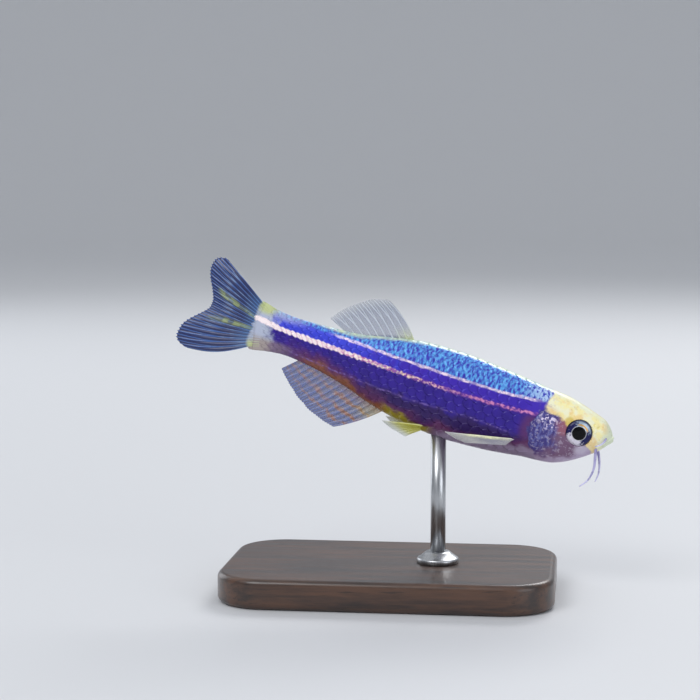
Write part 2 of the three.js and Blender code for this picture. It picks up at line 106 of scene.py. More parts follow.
def smooth_curve(pairs):
    """A smooth curve through (place, value) pairs that makes no bumps between them."""
    count = len(pairs)
    rise = [(pairs[i + 1][1] - pairs[i][1]) / (pairs[i + 1][0] - pairs[i][0]) for i in range(count - 1)]
    slope = [rise[0]]
    for before, after in zip(rise, rise[1:]):
        slope.append(0.0 if before * after <= 0 else 2 * before * after / (before + after))
    slope.append(rise[-1])

    def curve(x):
        i = 0
        while i < count - 2 and x > pairs[i + 1][0]:
            i += 1
        (x0, y0), (x1, y1) = pairs[i], pairs[i + 1]
        width = x1 - x0
        t = min(1.0, max(0.0, (x - x0) / width))
        lift = t * (1 - t) ** 2 * slope[i] * width - t * t * (1 - t) * slope[i + 1] * width
        return mix(y0, y1, t * t * (3 - 2 * t)) + lift

    return curve


def edge_curve(places):
    """How far back an edge lies, by the depth below the axis, from (s, h) places."""
    return smooth_curve([(-h, s) for s, h in places])


def column(k, scale):
    return smooth_curve([(row[0] * STANDARD_LENGTH, row[k] * scale) for row in STATIONS])


back_envelope = column(1, BODY_DEPTH)
belly_envelope = column(2, BODY_DEPTH)
width_envelope = column(3, BODY_WIDTH)
widest_level = smooth_curve([(0, MOUTH_H), (3.4, 0.1), (14, -0.35), (STANDARD_LENGTH, -0.1)])
stripe_1 = smooth_curve(STRIPE_1)
stripe_2 = smooth_curve(STRIPE_2)
stripe_3 = smooth_curve(STRIPE_3)
cap_edge = smooth_curve(CAP_EDGE)
gill_edge = edge_curve(GILL_EDGE)
tail_edge = edge_curve(TAIL_EDGE)


def snout_opening(s):
    t = min(1.0, max(0.0, s / SNOUT_ROUND))
    return sqrt(t * (2 - t))


def back(s):
    return MOUTH_H + (back_envelope(s) - MOUTH_H) * snout_opening(s)


def belly(s):
    return MOUTH_H + (belly_envelope(s) - MOUTH_H) * snout_opening(s)


def half_width(s):
    wedge = 1 - 0.78 * ease(s, 33.5, 37.2)
    return width_envelope(s) * snout_opening(s) * wedge


# The pose: the middle between the eyes fixes where the level fish goes in the frame.
LEAN = Matrix.Rotation(PITCH, 3, "Y")
eye_low, eye_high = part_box("eye_left")
EYE_PLACE = (eye_low + eye_high) / 2
EYE_PLACE.y = 0
ORIGIN = EYE_PLACE - LEAN @ (Vector((-EYE_S, 0, EYE_H)) * MM)


def place(point):
    """A point (-s, y, h) of the level fish, in millimetres, as a place in the frame."""
    return ORIGIN + LEAN @ (point * MM)


def at(s, h, y=0.0):
    return Vector((-s, y, h))


def section_point(s, turn):
    """A point of the skin; turn goes from 0 on the back to pi on the belly, positive on the left."""
    across, up = sin(turn), cos(turn)
    level = widest_level(s)
    reach = back(s) - level if up > 0 else level - belly(s)
    power = 2 / SECTION_POWER
    y = copysign(abs(across) ** power, across) * half_width(s)
    return at(s, level + copysign(abs(up) ** power, up) * reach, y)


def skin_normal(s, turn):
    STEP = 0.03
    along = section_point(s + STEP, turn) - section_point(max(0.001, s - STEP), turn)
    around = section_point(s, turn + STEP) - section_point(s, turn - STEP)
    normal = around.cross(along).normalized()
    outwards = Vector((0.0, sin(turn), cos(turn)))
    return normal if normal.dot(outwards) > 0 else -normal


def side_at(s, h):
    """Half width of the body at a height."""
    level = widest_level(s)
    reach = back(s) - level if h > level else level - belly(s)
    share = min(1.0, abs(h - level) / reach)
    return half_width(s) * (1 - share**SECTION_POWER) ** (1 / SECTION_POWER)


def side_point(s, h, side, lift=0.0):
    """A point on the body's side, lifted along its normal; side is 1 on the left and -1 on the right."""
    STEP = 0.05
    here = at(s, h, side * side_at(s, h))
    along = at(s + STEP, h, side * side_at(s + STEP, h)) - here
    up = at(s, h + STEP, side * side_at(s, h + STEP)) - here
    normal = along.cross(up).normalized()
    if normal.y * side < 0:
        normal = -normal
    return here + normal * lift


ARC_STEPS = 48


@functools.lru_cache(maxsize=None)
def arc_table(tenths):
    """Lengths along a half section, from the back down, at s in tenths of a millimetre."""
    s = tenths / 10
    points = [section_point(s, pi * i / ARC_STEPS) for i in range(ARC_STEPS + 1)]
    lengths = [0.0]
    for a, b in zip(points, points[1:]):
        lengths.append(lengths[-1] + (b - a).length)
    return lengths


def turn_at(s, share):
    """The turn at a share of the way round: 0 on the back, 1 on the belly, negative on the right side."""
    share = (share + 1) % 2 - 1
    lengths = arc_table(round(s * 10))
    wanted = abs(share) * lengths[-1]
    i = 0
    while i < ARC_STEPS - 1 and lengths[i + 1] < wanted:
        i += 1
    part = (wanted - lengths[i]) / (lengths[i + 1] - lengths[i])
    return copysign(pi * (i + part) / ARC_STEPS, share)


# Measures that the flesh's paint reads at each point
def flesh_measures(s, h, y, rim=0.0, draw=0.5):
    return {
        "s": s,
        "h": h,
        "over_1": h - stripe_1(s),
        "over_2": h - stripe_2(s),
        "over_3": h - stripe_3(s),
        "over_cap": h - cap_edge(s),
        "under_back": back(s) - h,
        "over_belly": h - belly(s),
        "off_middle": abs(y),
        "in_head": gill_edge(-h) - s,
        "rim": rim,
        "draw": draw,
    }


def new_mesh(name, points, faces, material, flat_caps=False):
    """A smooth mesh; flat_caps keeps its many-sided faces flat."""
    mesh = bpy.data.meshes.new(name)
    mesh.from_pydata(points, [], faces)
    mesh.polygons.foreach_set("use_smooth", [not flat_caps or len(face) <= 4 for face in faces])
    mesh.materials.append(material)
    return mesh


def add_object(name, data):
    made = bpy.data.objects.new(name, data)
    bpy.context.scene.collection.objects.link(made)
    return made


def add_piece(name, mesh, replaced):
    made = add_object(name, mesh)
    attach(made, BODY)
    if replaced:
        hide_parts(*replaced)


class Piece:
    """Collects the points, faces and paint measures of one mesh, and makes it."""

    def __init__(self, name):
        self.name = name
        self.points = []
        self.faces = []
        self.measures = {}
        self.patches = []

    def point(self, where, measures):
        self.points.append(place(where))
        for key, value in measures.items():
            self.measures.setdefault(key, []).append(value)
        return len(self.points) - 1

    def fan(self, centre, start, count, flip):
        """Closes a ring of points round a centre."""
        for i in range(count):
            edge = [start + i, start + (i + 1) % count]
            self.faces.append([centre] + (edge[::-1] if flip else edge))

    def make(self, material, slot, replaced=()):
        mesh = new_mesh(self.name, self.points, self.faces, material)
        for key, values in self.measures.items():
            mesh.attributes.new(key, "FLOAT", "POINT").data.foreach_set("value", values)
        if self.patches:
            coords = mesh.uv_layers.new(name="OFBake").data
            for loop in mesh.loops:
                coords[loop.index].uv = self.patches[loop.vertex_index]
        add_piece(self.name, mesh, replaced)


def arc(steps, span=pi / 2):
    """Cosine and sine at even steps from 0 to span."""
    return [(cos(i / steps * span), sin(i / steps * span)) for i in range(steps + 1)]


def circle(sides):
    return arc(sides, 2 * pi)[:-1]


def grid_faces(rows, columns, start=0, closed=False, flip=False):
    """Quads over a grid of points that was added row by row."""
    faces = []
    for r in range(rows - 1):
        for c in range(columns if closed else columns - 1):
            d = (c + 1) % columns
            quad = [start + r * columns + c, start + r * columns + d]
            quad += [start + (r + 1) * columns + d, start + (r + 1) * columns + c]
            faces.append(quad[::-1] if flip else quad)
    return faces


def tube_faces(rows, columns):
    """Faces of a tube of rings with a flat cap on each end."""
    last = (rows - 1) * columns
    return grid_faces(rows, columns, closed=True) + [[*range(columns)][::-1], [*range(last, last + columns)]]


def plate_faces(rows, columns, top, bottom):
    """Faces of a thin plate with the same grid on both sides."""
    faces = grid_faces(rows, columns, top) + grid_faces(rows, columns, bottom, flip=True)
    rim = [*range(columns)]
    rim += [r * columns + columns - 1 for r in range(1, rows)]
    rim += [(rows - 1) * columns + c for c in range(columns - 2, -1, -1)]
    rim += [r * columns for r in range(rows - 2, 0, -1)]
    for a, b in zip(rim, rim[1:] + rim[:1]):
        faces.append([top + b, top + a, bottom + a, bottom + b])
    return faces


TUBE_SIDES = 14


def tube(name, rings, measure):
    """A closed tube through rings, each a centre, two axes across it and a radius."""
    piece = Piece(name)
    for k, (centre, first, second, radius) in enumerate(rings):
        for c, d in circle(TUBE_SIDES):
            where = centre + (first * c + second * d) * radius
            piece.point(where, measure(where, k / (len(rings) - 1)))
    piece.faces = tube_faces(len(rings), TUBE_SIDES)
    return piece


# Paints
def srgb(red, green, blue):
    """A colour of 0 to 255 steps as linear light."""
    linear = []
    for value in (red, green, blue):
        c = value / 255
        linear.append(c / 12.92 if c <= 0.04045 else ((c + 0.055) / 1.055) ** 2.4)
    return (*linear, 1.0)


class Paint:
    """A material put together in plain steps."""

    def __init__(self, name, roughness=0.4, coat=0.0, coat_roughness=0.1, metallic=0.0):
        self.material = bpy.data.materials.new(name)
        self.material.use_nodes = True
        self.nodes = self.material.node_tree.nodes
        self.links = self.material.node_tree.links
        self.shader = self.nodes["Principled BSDF"]
        self.set("Roughness", roughness)
        self.set("Coat Weight", coat)
        self.set("Coat Roughness", coat_roughness)
        self.set("Metallic", metallic)

    def feed(self, socket, value):
        if isinstance(value, bpy.types.NodeSocket):
            self.links.new(value, socket)
        else:
            socket.default_value = value

    def set(self, name, value):
        self.feed(self.shader.inputs[name], value)

    def node(self, kind, inputs, **settings):
        """The outputs of a new node; inputs gives a number, colour or link by the input's name or place."""
        node = self.nodes.new("ShaderNode" + kind)
        for key, value in settings.items():
            setattr(node, key, value)
        for key, value in inputs.items():
            self.feed(node.inputs[key], value)
        return node.outputs

    def measure(self, name):
        return self.node("Attribute", {}, attribute_name=name)["Fac"]

    def math(self, operation, *values):
        return self.node("Math", dict(enumerate(values)), operation=operation)[0]

    def times(self, *values):
        return functools.reduce(lambda a, b: self.math("MULTIPLY", a, b), values)

    def add(self, *values):
        return functools.reduce(lambda a, b: self.math("ADD", a, b), values)

    def off(self, value, level):
        """How far a value is from a level."""
        return self.math("ABSOLUTE", self.math("SUBTRACT", value, level))

    def rise(self, value, low, high):
        """0 at low, 1 at high and a smooth rise between; low may be the higher of the two."""
        inputs = {"Value": value, "From Min": low, "From Max": high}
        return self.node("MapRange", inputs, interpolation_type="SMOOTHSTEP")["Result"]

    def scaled(self, *values):
        """Of value, low, high, out_low and out_high: the value mapped from low..high to out_low..out_high."""
        return self.node("MapRange", dict(enumerate(values)))["Result"]

    def stray(self, noise, spread):
        """Noise as a stray of up to spread either way."""
        return self.scaled(noise, 0.3, 0.7, -spread, spread)

    def window(self, value, low, high, soft):
        rising = self.rise(value, low - soft, low + soft)
        return self.times(rising, self.rise(value, high + soft, high - soft))

    def spot(self, s, h, middle_s, middle_h, half_s, half_h):
        """1 in the middle of a soft oval spot and 0 outside it."""
        along = self.math("MULTIPLY_ADD", s, 1 / half_s, -middle_s / half_s)
        up = self.math("MULTIPLY_ADD", h, 1 / half_h, -middle_h / half_h)
        return self.rise(self.add(self.times(along, along), self.times(up, up)), 1.0, 0.15)

    def mix(self, first, second, *amounts):
        """The second colour over the first, by the amounts multiplied together."""
        return self.node("Mix", {0: self.times(*amounts), 6: first, 7: second}, data_type="RGBA")[2]

    def noise(self, size, detail=2.0, stretch=(1, 1, 1), roughness=0.5, lean=PITCH):
        """Cloudy noise with features of about this size in millimetres, along the level fish's axes."""
        where = self.node("TexCoord", {})["Object"]
        level = self.node("Mapping", {"Vector": where, "Rotation": (0, -lean, 0)})["Vector"]
        stretched = self.node("VectorMath", {0: level, 1: stretch}, operation="MULTIPLY")[0]
        inputs = {"Vector": stretched, "Scale": 1 / (size * MM), "Detail": detail, "Roughness": roughness}
        return self.node("TexNoise", inputs)["Fac"]

    def bump(self, height, distance, strength=1.0):
        inputs = {"Height": height, "Distance": distance * MM, "Strength": strength}
        self.set("Normal", self.node("Bump", inputs)["Normal"])

    def finish_with_painted_glow(self, colour, painted_glow, alpha=1.0):
        """The finished material, in a colour that also glows a little: a painted glow, as the emission makes
        the flesh, fins and barbels light up though they are no lamp.
        """
        self.set("Base Color", colour)
        self.set("Alpha", alpha)
        # Painted glow: the surface emits light in its own colour.
        self.set("Emission Color", colour)
        self.set("Emission Strength", painted_glow)
        return self.material


FLANK_VIOLET = srgb(62, 36, 172)
FLANK_BLUE = srgb(54, 64, 208)
LOW_VIOLET = srgb(40, 16, 126)
PLUM = srgb(42, 16, 88)
MAROON = srgb(92, 38, 84)
ORANGE_BROWN = srgb(140, 84, 46)
OLIVE = srgb(150, 136, 38)
BELLY_GREY = srgb(142, 126, 152)
BACK_CYAN = srgb(98, 176, 236)
BACK_BLUE = srgb(38, 50, 186)
BACK_PURPLE = srgb(52, 44, 172)
NAPE_WHITE = srgb(186, 204, 232)
PALE_RIDGE = srgb(206, 222, 184)
STRIPE_PINK = srgb(208, 130, 182)
STRIPE_GOLD = srgb(248, 222, 196)
STRIPE_PEACH = srgb(255, 238, 240)
STRIPE_WHITE = srgb(246, 222, 238)
STRIPE_LILAC = srgb(134, 108, 184)
STRIPE_SHADE = srgb(100, 40, 132)
CAP_YELLOW = srgb(240, 230, 168)
CAP_PALE = srgb(236, 234, 200)
# Tan of the cap's mottles, also used as painted shade along the cap's lower edge
CAP_TAN_AND_SHADE = srgb(232, 198, 130)
SNOUT_WHITE = srgb(208, 216, 190)
CHEEK = srgb(112, 82, 112)
CHEEK_ROSE = srgb(146, 90, 108)
CHEEK_PALE = srgb(188, 178, 198)
OPERCLE = srgb(58, 50, 122)
OPERCLE_STREAK = srgb(118, 124, 186)
SPECKLE = srgb(222, 210, 238)
THROAT = srgb(170, 152, 182)
FRECKLE = srgb(150, 128, 96)
AMBER = srgb(204, 176, 64)
TAIL_BASE = srgb(182, 190, 208)
TAIL_CORNER = srgb(196, 204, 140)
TAIL_BROWN = srgb(160, 138, 116)


def paint_back(p, s, h, draw, rim):
    """The back: cyan streaks round staggered dark blue spots, paler at the nape."""
    SPOT_PITCH, SPOT_RISE = 0.52, 1.1
    stray = p.stray(p.noise(1.0, 2), 1.6)
    along = p.math("SINE", p.add(p.times(s, 2 * pi / SPOT_PITCH), stray))
    upwards = p.math("COSINE", p.add(p.times(h, 2 * pi / SPOT_RISE), stray))
    streaks = p.noise(0.24, 2, stretch=(1.3, 1, 0.45))
    bright = p.add(p.scaled(streaks, 0.35, 0.65, 0.05, 0.8), p.scaled(draw, 0, 1, -0.08, 0.08))
    bright = p.add(bright, p.times(along, upwards, 0.3), p.times(p.rise(rim, 0.3, 0.9), 0.2))
    colour = p.mix(BACK_PURPLE, BACK_BLUE, p.rise(streaks, 0.4, 0.6))
    colour = p.mix(colour, BACK_CYAN, p.rise(bright, -0.1, 1.15))
    return p.mix(colour, NAPE_WHITE, p.rise(s, 10.5, 7.2), p.rise(bright, 0.1, 0.6), 0.8)


def paint_trunk(p, s, h, draw, rim):
    """The trunk's colour: blue back, violet flanks and a belly that turns from grey to olive and brown."""
    over_1, over_2 = p.measure("over_1"), p.measure("over_2")
    over_belly = p.measure("over_belly")
    blotch = p.noise(1.5, 3)
    shade = p.scaled(p.noise(0.8, 2, stretch=(1.2, 1, 0.6)), 0.3, 0.7, 0.0, 1.0)
    middle = p.mix(FLANK_VIOLET, FLANK_BLUE, p.rise(p.add(s, p.times(shade, 6)), 21, 33))
    low_flank = p.mix(LOW_VIOLET, FLANK_VIOLET, shade, 0.35)
    colour = p.mix(middle, low_flank, p.rise(over_2, 0.1, -0.3))
    waver = p.stray(blotch, 0.4)
    low = p.add(over_belly, waver)
    colour = p.mix(colour, PLUM, p.rise(p.add(h, waver), -1.7, -2.6), p.rise(s, 31, 25))
    colour = p.mix(colour, MAROON, p.rise(low, 2.0, 0.9), p.window(s, 14, 33, 2), 0.8)
    colour = p.mix(colour, ORANGE_BROWN, p.rise(low, 1.0, 0.25), p.window(s, 20, 31.5, 1.5), 0.9)
    colour = p.mix(colour, OLIVE, p.rise(low, 1.15, 0.5), p.window(s, 17.4, 22.3, 0.8))
    behind_gill = p.rise(p.measure("in_head"), -1.5, -0.3)
    colour = p.mix(colour, MAROON, behind_gill, p.window(h, -2.4, 0.2, 0.5), 0.75)
    front_belly = p.window(s, 5.0, 16.8, 1.3)
    edge = p.math("SUBTRACT", low, p.scaled(s, 8, 17, 0.55, 0.0))
    colour = p.mix(colour, MAROON, p.rise(edge, 1.7, 1.0), front_belly, 0.8)
    colour = p.mix(colour, BELLY_GREY, p.rise(edge, 1.15, 0.35), front_belly)
    back_up = p.add(over_1, p.stray(blotch, 0.12))
    colour = p.mix(colour, paint_back(p, s, h, draw, rim), p.rise(back_up, -0.15, 0.25))
    off_middle = p.add(p.measure("off_middle"), p.scaled(shade, 0, 1, -0.1, 0.15))
    ridge = p.times(p.rise(off_middle, 0.85, 0.45), p.rise(over_1, 0.2, 0.5), p.window(s, 6.8, 33, 1.5))
    return p.mix(colour, PALE_RIDGE, ridge, p.scaled(shade, 0, 1, 0.5, 1.0))


def paint_stripe(p, colour, over, half, soft, stripe_colour, strength, wander=0.09):
    """One stripe along the body, of a half width that may change along it."""
    away = p.math("ABSOLUTE", p.add(over, p.stray(p.noise(0.7, 3), wander)))
    return p.mix(colour, stripe_colour, p.rise(p.math("SUBTRACT", away, half), soft, -soft), strength)


def paint_stripes(p, colour, s):
    """The three stripes: broken pink and white ones, and the main one that is whole towards the tail."""
    over_1, over_2, over_3 = (p.measure(f"over_{k}") for k in (1, 2, 3))
    grain = p.noise(0.36, 2, stretch=(1, 1, 1.3))
    beads = p.rise(grain, 0.43, 0.55)
    patches = p.rise(p.noise(0.9, 2), 0.4, 0.52)
    broken = (p.scaled(beads, 0, 1, 0.5, 1.0), p.scaled(patches, 0, 1, 0.6, 1.0))
    strength = p.times(p.window(s, 8.0, 29.3, 0.7), *broken)
    colour = paint_stripe(p, colour, over_1, 0.13, 0.07, STRIPE_WHITE, strength, wander=0.06)

    shade = p.times(p.window(s, 7.6, 23, 1.0), 0.6)
    colour = paint_stripe(p, colour, over_2, 0.18, 0.2, STRIPE_SHADE, shade)
    ROPE_PITCH = 0.55
    twist = p.math("SINE", p.add(p.times(s, 2 * pi / ROPE_PITCH), p.times(over_2, -9)))
    half = p.add(p.scaled(s, 15, 31, 0.13, 0.24), p.times(twist, 0.035))
    whole = p.rise(s, 19, 27)
    strands = p.mix(STRIPE_PINK, STRIPE_GOLD, p.rise(grain, 0.44, 0.56), p.rise(s, 13, 23))
    main = p.mix(strands, STRIPE_PEACH, p.rise(p.add(s, p.stray(grain, 3)), 23, 31))
    main = p.mix(main, STRIPE_PINK, p.rise(twist, -0.2, -0.9), 0.35)
    broken = p.math("MAXIMUM", p.times(beads, p.scaled(patches, 0, 1, 0.5, 1.0)), whole)
    strength = p.times(p.window(s, 7.9, 38.5, 0.5), p.scaled(broken, 0, 1, 0.12, 1.0))
    colour = paint_stripe(p, colour, over_2, half, 0.07, main, strength, wander=0.06)

    dots = p.rise(grain, 0.48, 0.6)
    strength = p.times(p.window(s, 10, 33.5, 1.5), p.scaled(dots, 0, 1, 0.15, 0.7))
    return paint_stripe(p, colour, over_3, 0.07, 0.1, STRIPE_LILAC, strength)


def paint_tail_base(p, trunk, s, h):
    """The pale base of the tail fin: white-lilac, with yellow corners and the end of the main stripe."""
    along = p.add(s, p.stray(p.noise(0.8, 3), 0.5))
    trunk = p.mix(trunk, TAIL_BROWN, p.rise(h, -0.95, -1.5), p.rise(along, 31.5, 35), 0.5)
    trunk = p.mix(trunk, TAIL_BASE, p.rise(h, 0.75, 1.4), p.rise(along, 31, 35), 0.6)
    base = p.mix(TAIL_BASE, TAIL_CORNER, p.rise(h, 0.85, 1.45))
    base = p.mix(base, TAIL_BROWN, p.rise(h, -0.9, -1.7), 0.7)
    trunk = p.mix(trunk, base, p.rise(along, 34.9, 35.9), 0.92)
    return paint_stripe(p, trunk, p.measure("over_2"), 0.24, 0.1, STRIPE_PEACH, p.rise(s, 34.3, 35.3))


def paint_head(p, s, h):
    """The head's colour: mottled yellow cap and snout, with painted shade along the cap's lower edge, plum
    cheek, streaked blue gill cover, pale throat.
    """
    over_cap, over_belly = p.measure("over_cap"), p.measure("over_belly")
    cloud = p.noise(1.1, 3)
    grain = p.noise(0.3, 3)
    waver = p.stray(cloud, 0.4)
    colour = p.mix(CHEEK, CHEEK_ROSE, p.spot(s, h, 5.0, 0.1, 1.1, 1.1))
    colour = p.mix(colour, CHEEK_PALE, p.spot(s, h, 2.3, -1.75, 1.3, 0.9))
    low = p.add(over_belly, waver)
    front = p.add(s, p.times(waver, 1.2))
    streaks = p.rise(p.noise(0.24, 2, stretch=(1, 1, 0.35)), 0.44, 0.66)
    cover = p.mix(OPERCLE, OPERCLE_STREAK, streaks, p.window(h, -2.6, 0.6, 0.6), 0.6)
    flecks = p.rise(p.noise(0.24, 0, stretch=(0.9, 1, 1.1)), 0.56, 0.66)
    cover = p.mix(cover, SPECKLE, flecks, p.spot(s, h, 6.45, 0.2, 1.4, 1.1))
    colour = p.mix(colour, cover, p.rise(front, 4.9, 6.3), p.rise(low, 0.3, 1.8))
    colour = p.mix(colour, THROAT, p.rise(low, 1.1, 0.2))
    cap = p.mix(CAP_YELLOW, CAP_PALE, p.rise(p.noise(0.8, 3), 0.42, 0.58))
    cap = p.mix(cap, CAP_TAN_AND_SHADE, p.rise(cloud, 0.5, 0.64), p.rise(s, 8, 6), 0.75)
    cap = p.mix(cap, CHEEK_PALE, p.rise(s, 5.8, 7.4), p.rise(grain, 0.42, 0.6), 0.7)
    cap = p.mix(cap, SNOUT_WHITE, p.rise(s, 1.5, 0.3))
    cap = p.mix(cap, SNOUT_WHITE, p.rise(p.measure("under_back"), 0.5, 0.1), 0.6)
    # The cap darkens to tan towards its lower edge: painted shade where the rounded head turns away from the
    # light.
    cap = p.mix(cap, CAP_TAN_AND_SHADE, p.rise(over_cap, 0.7, 0.1), 0.5)
    colour = p.mix(colour, cap, p.rise(p.add(over_cap, waver), -0.15, 0.25))
    colour = p.mix(colour, AMBER, p.spot(s, h, 4.6, 0.75, 0.55, 0.6), 0.8)
    colour = p.mix(colour, FRECKLE, p.rise(grain, 0.6, 0.68), p.rise(over_cap, -0.4, 0.4), 0.2)
    return p.mix(colour, CHEEK_PALE, p.rise(grain, 0.46, 0.34), p.rise(over_cap, 0.2, -0.4), 0.4)


SCALE_SHEEN = 0.2
SCALE_EDGE = srgb(30, 22, 90)


def paint_flesh(name, is_coat):
    """The paint of skin and scales; the scales also have darker edges and a faint sheen."""
    p = Paint(name, roughness=0.4, coat=0.2, coat_roughness=0.2, metallic=SCALE_SHEEN if is_coat else 0.0)
    p.set("Specular IOR Level", 0.35)
    s, h = p.measure("s"), p.measure("h")
    draw, rim = p.measure("draw"), p.measure("rim")
    trunk = paint_stripes(p, paint_trunk(p, s, h, draw, rim), s)
    trunk = paint_tail_base(p, trunk, s, h)
    edge = p.add(p.measure("in_head"), p.stray(p.noise(0.8, 3), 0.4))
    colour = p.mix(trunk, paint_head(p, s, h), p.rise(edge, -0.25, 0.15))
    if is_coat:
        colour = p.mix(colour, SCALE_EDGE, p.rise(rim, 0.6, 1.0), p.rise(p.measure("over_1"), 0.3, -0.2), 0.1)
    p.bump(p.noise(0.16, 3), 0.012)
    return p.finish_with_painted_glow(colour, 0.12)


# The skin: one closed surface from snout to tail, with sockets for the eyes
SKIN_SIDES = 168
SKIN_END = 37.2
EYE_SOCKET = EYE_RADIUS + 0.03
SOCKET_FLOOR = 1.0
ORBIT_RAISE, ORBIT_WIDTH = 0.07, 0.5
NOSTRILS = [(1.72, 0.98, 0.17), (2.12, 1.12, 0.2)]  # place and radius of each pit
NOSTRIL_DEPTH, NOSTRIL_RIM = 0.16, 0.04


def skin_places():
    SNOUT_STEPS, HEAD_END, HEAD_STEP, TRUNK_STEP = 28, 8.6, 0.085, 0.24
    rings = [SNOUT_ROUND * (1 - c) for c, d in arc(SNOUT_STEPS)[1:]]
    while rings[-1] < HEAD_END:
        rings.append(rings[-1] + HEAD_STEP)
    while rings[-1] < TAIL_END:
        rings.append(rings[-1] + TRUNK_STEP)
    return rings


def skin_relief(s, h):
    """How far the skin stands over the plain body: sunk under the scales, raised round eyes and nostrils."""
    lift = -COAT_DEPTH * ease(s, 6.6, 8.2) * (1 - ease(s, 35.8, 36.8))
    from_eye = hypot(s - EYE_S, h - EYE_H)
    if EYE_SOCKET <= from_eye < EYE_SOCKET + ORBIT_WIDTH:
        lift += ORBIT_RAISE * cos((from_eye - EYE_SOCKET) / ORBIT_WIDTH * pi / 2) ** 2
    for pit_s, pit_h, radius in NOSTRILS:
        away = hypot(s - pit_s, h - pit_h) / radius
        lift -= NOSTRIL_DEPTH * (1 - ease(away, 0.35, 1.0))
        lift += NOSTRIL_RIM * exp(-((away - 1.25) / 0.25) ** 2)
    return lift


def tail_shift(s, h):
    """How far the slanted end of the tail stalk moves a place back, more and more towards it."""
    return (tail_edge(-h) - TAIL_END) * ease(s, 33.5, TAIL_END)


def skin_point(s, turn):
    """A point of the skin with its relief, eye sockets and tail end."""
    plain = section_point(s, turn)
    h, y = plain.z, plain.y
    from_eye = hypot(s - EYE_S, h - EYE_H)
    SNAP = 0.075
    if abs(from_eye - EYE_SOCKET) < SNAP and abs(y) > 0.3:
        s = EYE_S + (s - EYE_S) * EYE_SOCKET / from_eye
        h = EYE_H + (h - EYE_H) * EYE_SOCKET / from_eye
        return side_point(s, h, copysign(1, y), skin_relief(s, h))
    if from_eye < EYE_SOCKET and abs(y) > 0.3:
        return at(s, h, copysign(SOCKET_FLOOR, y))
    point = plain + skin_normal(s, turn) * skin_relief(s, h)
    point.x -= tail_shift(s, h)
    return point


def make_skin(material):
    piece = Piece("skin")
    rings = skin_places()
    for s in rings:
        for i in range(SKIN_SIDES):
            turn = (i + 0.5) / SKIN_SIDES * 2 * pi
            turn = turn if turn <= pi else turn - 2 * pi
            where = skin_point(s, turn)
            piece.point(where, flesh_measures(-where.x, where.z, where.y))
    piece.faces = grid_faces(len(rings), SKIN_SIDES, closed=True)
    for ring, end_s, end_h in ((0, 0.0, MOUTH_H), (len(rings) - 1, SKIN_END, -0.1)):
        end = piece.point(at(end_s, end_h), flesh_measures(end_s, 0.1, 0))
        piece.fan(end, ring * SKIN_SIDES, SKIN_SIDES, ring == 0)
    piece.make(material, "body_skin", ("head", "trunk", "tail_stalk"))


# The scales: overlapping plates in staggered rows, each over the root of those behind it
SCALE_ROWS = 13  # on each side
SCALE_FIELD = (6.2, 35.9)
SCALE_PITCH = 1.02
SCALE_REACH = 1.75  # length of a scale, as a share of the pitch
SCALE_GRID = 6
SCALE_THICKNESS = 0.022
SCALE_PATCH = 0.004  # side of a scale's patch in the bake map


def scale_layout(side):
    """Root places (s, share of the way round) of one side's scales."""
    places = []
    for row in range(SCALE_ROWS):
        share = side * (row + 0.5) / SCALE_ROWS
        s = SCALE_FIELD[0] + (row % 2) * SCALE_PITCH / 2
        while s < SCALE_FIELD[1]:
            turn = turn_at(s, share)
            h = section_point(s, turn).z
            if s > gill_edge(-h) - 0.15:
                places.append((s, share))
            s += SCALE_PITCH * mix(1.0, 0.88, ease(s, 20, 36))
    return places


def make_scales(name, side, material):
    ROOT_SINK, TIP_LIFT, RIM_DROP = 0.06, 0.016, 0.015
    piece = Piece(name)
    luck = random.Random(7 + side)
    reach_round = 0.93 / SCALE_ROWS
    count = SCALE_GRID + 1
    for s0, share0 in scale_layout(side):
        draw = luck.random()
        jitter = luck.uniform(-0.05, 0.05)
        tilt = luck.uniform(-0.012, 0.012)
        starts = []
        for under in (0.0, SCALE_THICKNESS):
            starts.append(len(piece.points))
            for j in range(count):
                along = j / SCALE_GRID
                for i in range(count):
                    across = 2 * i / SCALE_GRID - 1
                    bow = sqrt(max(0.0, 1 - 0.96 * across * across))
                    s = s0 + jitter + SCALE_PITCH * SCALE_REACH * along * mix(0.5, 1.0, bow)
                    round_end = 0.8 + 0.2 * sin(pi * min(1, along + 0.2))
                    share = share0 + across * reach_round * round_end
                    turn = turn_at(s, share)
                    rim = max(abs(across) ** 3, along**3)
                    lift = mix(-ROOT_SINK, TIP_LIFT, along) - RIM_DROP * rim + tilt * across - under
                    lift -= COAT_DEPTH * 0.4
                    where = section_point(s, turn) + skin_normal(s, turn) * lift
                    where.x -= tail_shift(s, where.z)
                    piece.point(where, flesh_measures(-where.x, where.z, where.y, rim, draw))
                    u = s0 / 40 + (along - 0.5) * SCALE_PATCH
                    v = (share0 + 1) / 2 + across * 0.5 * SCALE_PATCH
                    piece.patches.append((u, v))
        top, bottom = starts
        faces = plate_faces(count, count, top, bottom)
        piece.faces += [f[::-1] for f in faces] if side > 0 else faces
    piece.make(material, "body_skin")


# Plates over the skin of the head: the gill cover and the cheek
COVER_FRONT = [(6.35, 1.05), (5.65, -0.2), (5.5, -1.45), (6.0, -3.0)]
CHEEK_FRONT = [(5.0, 0.55), (4.75, -0.8), (4.3, -1.9), (4.2, -2.55)]


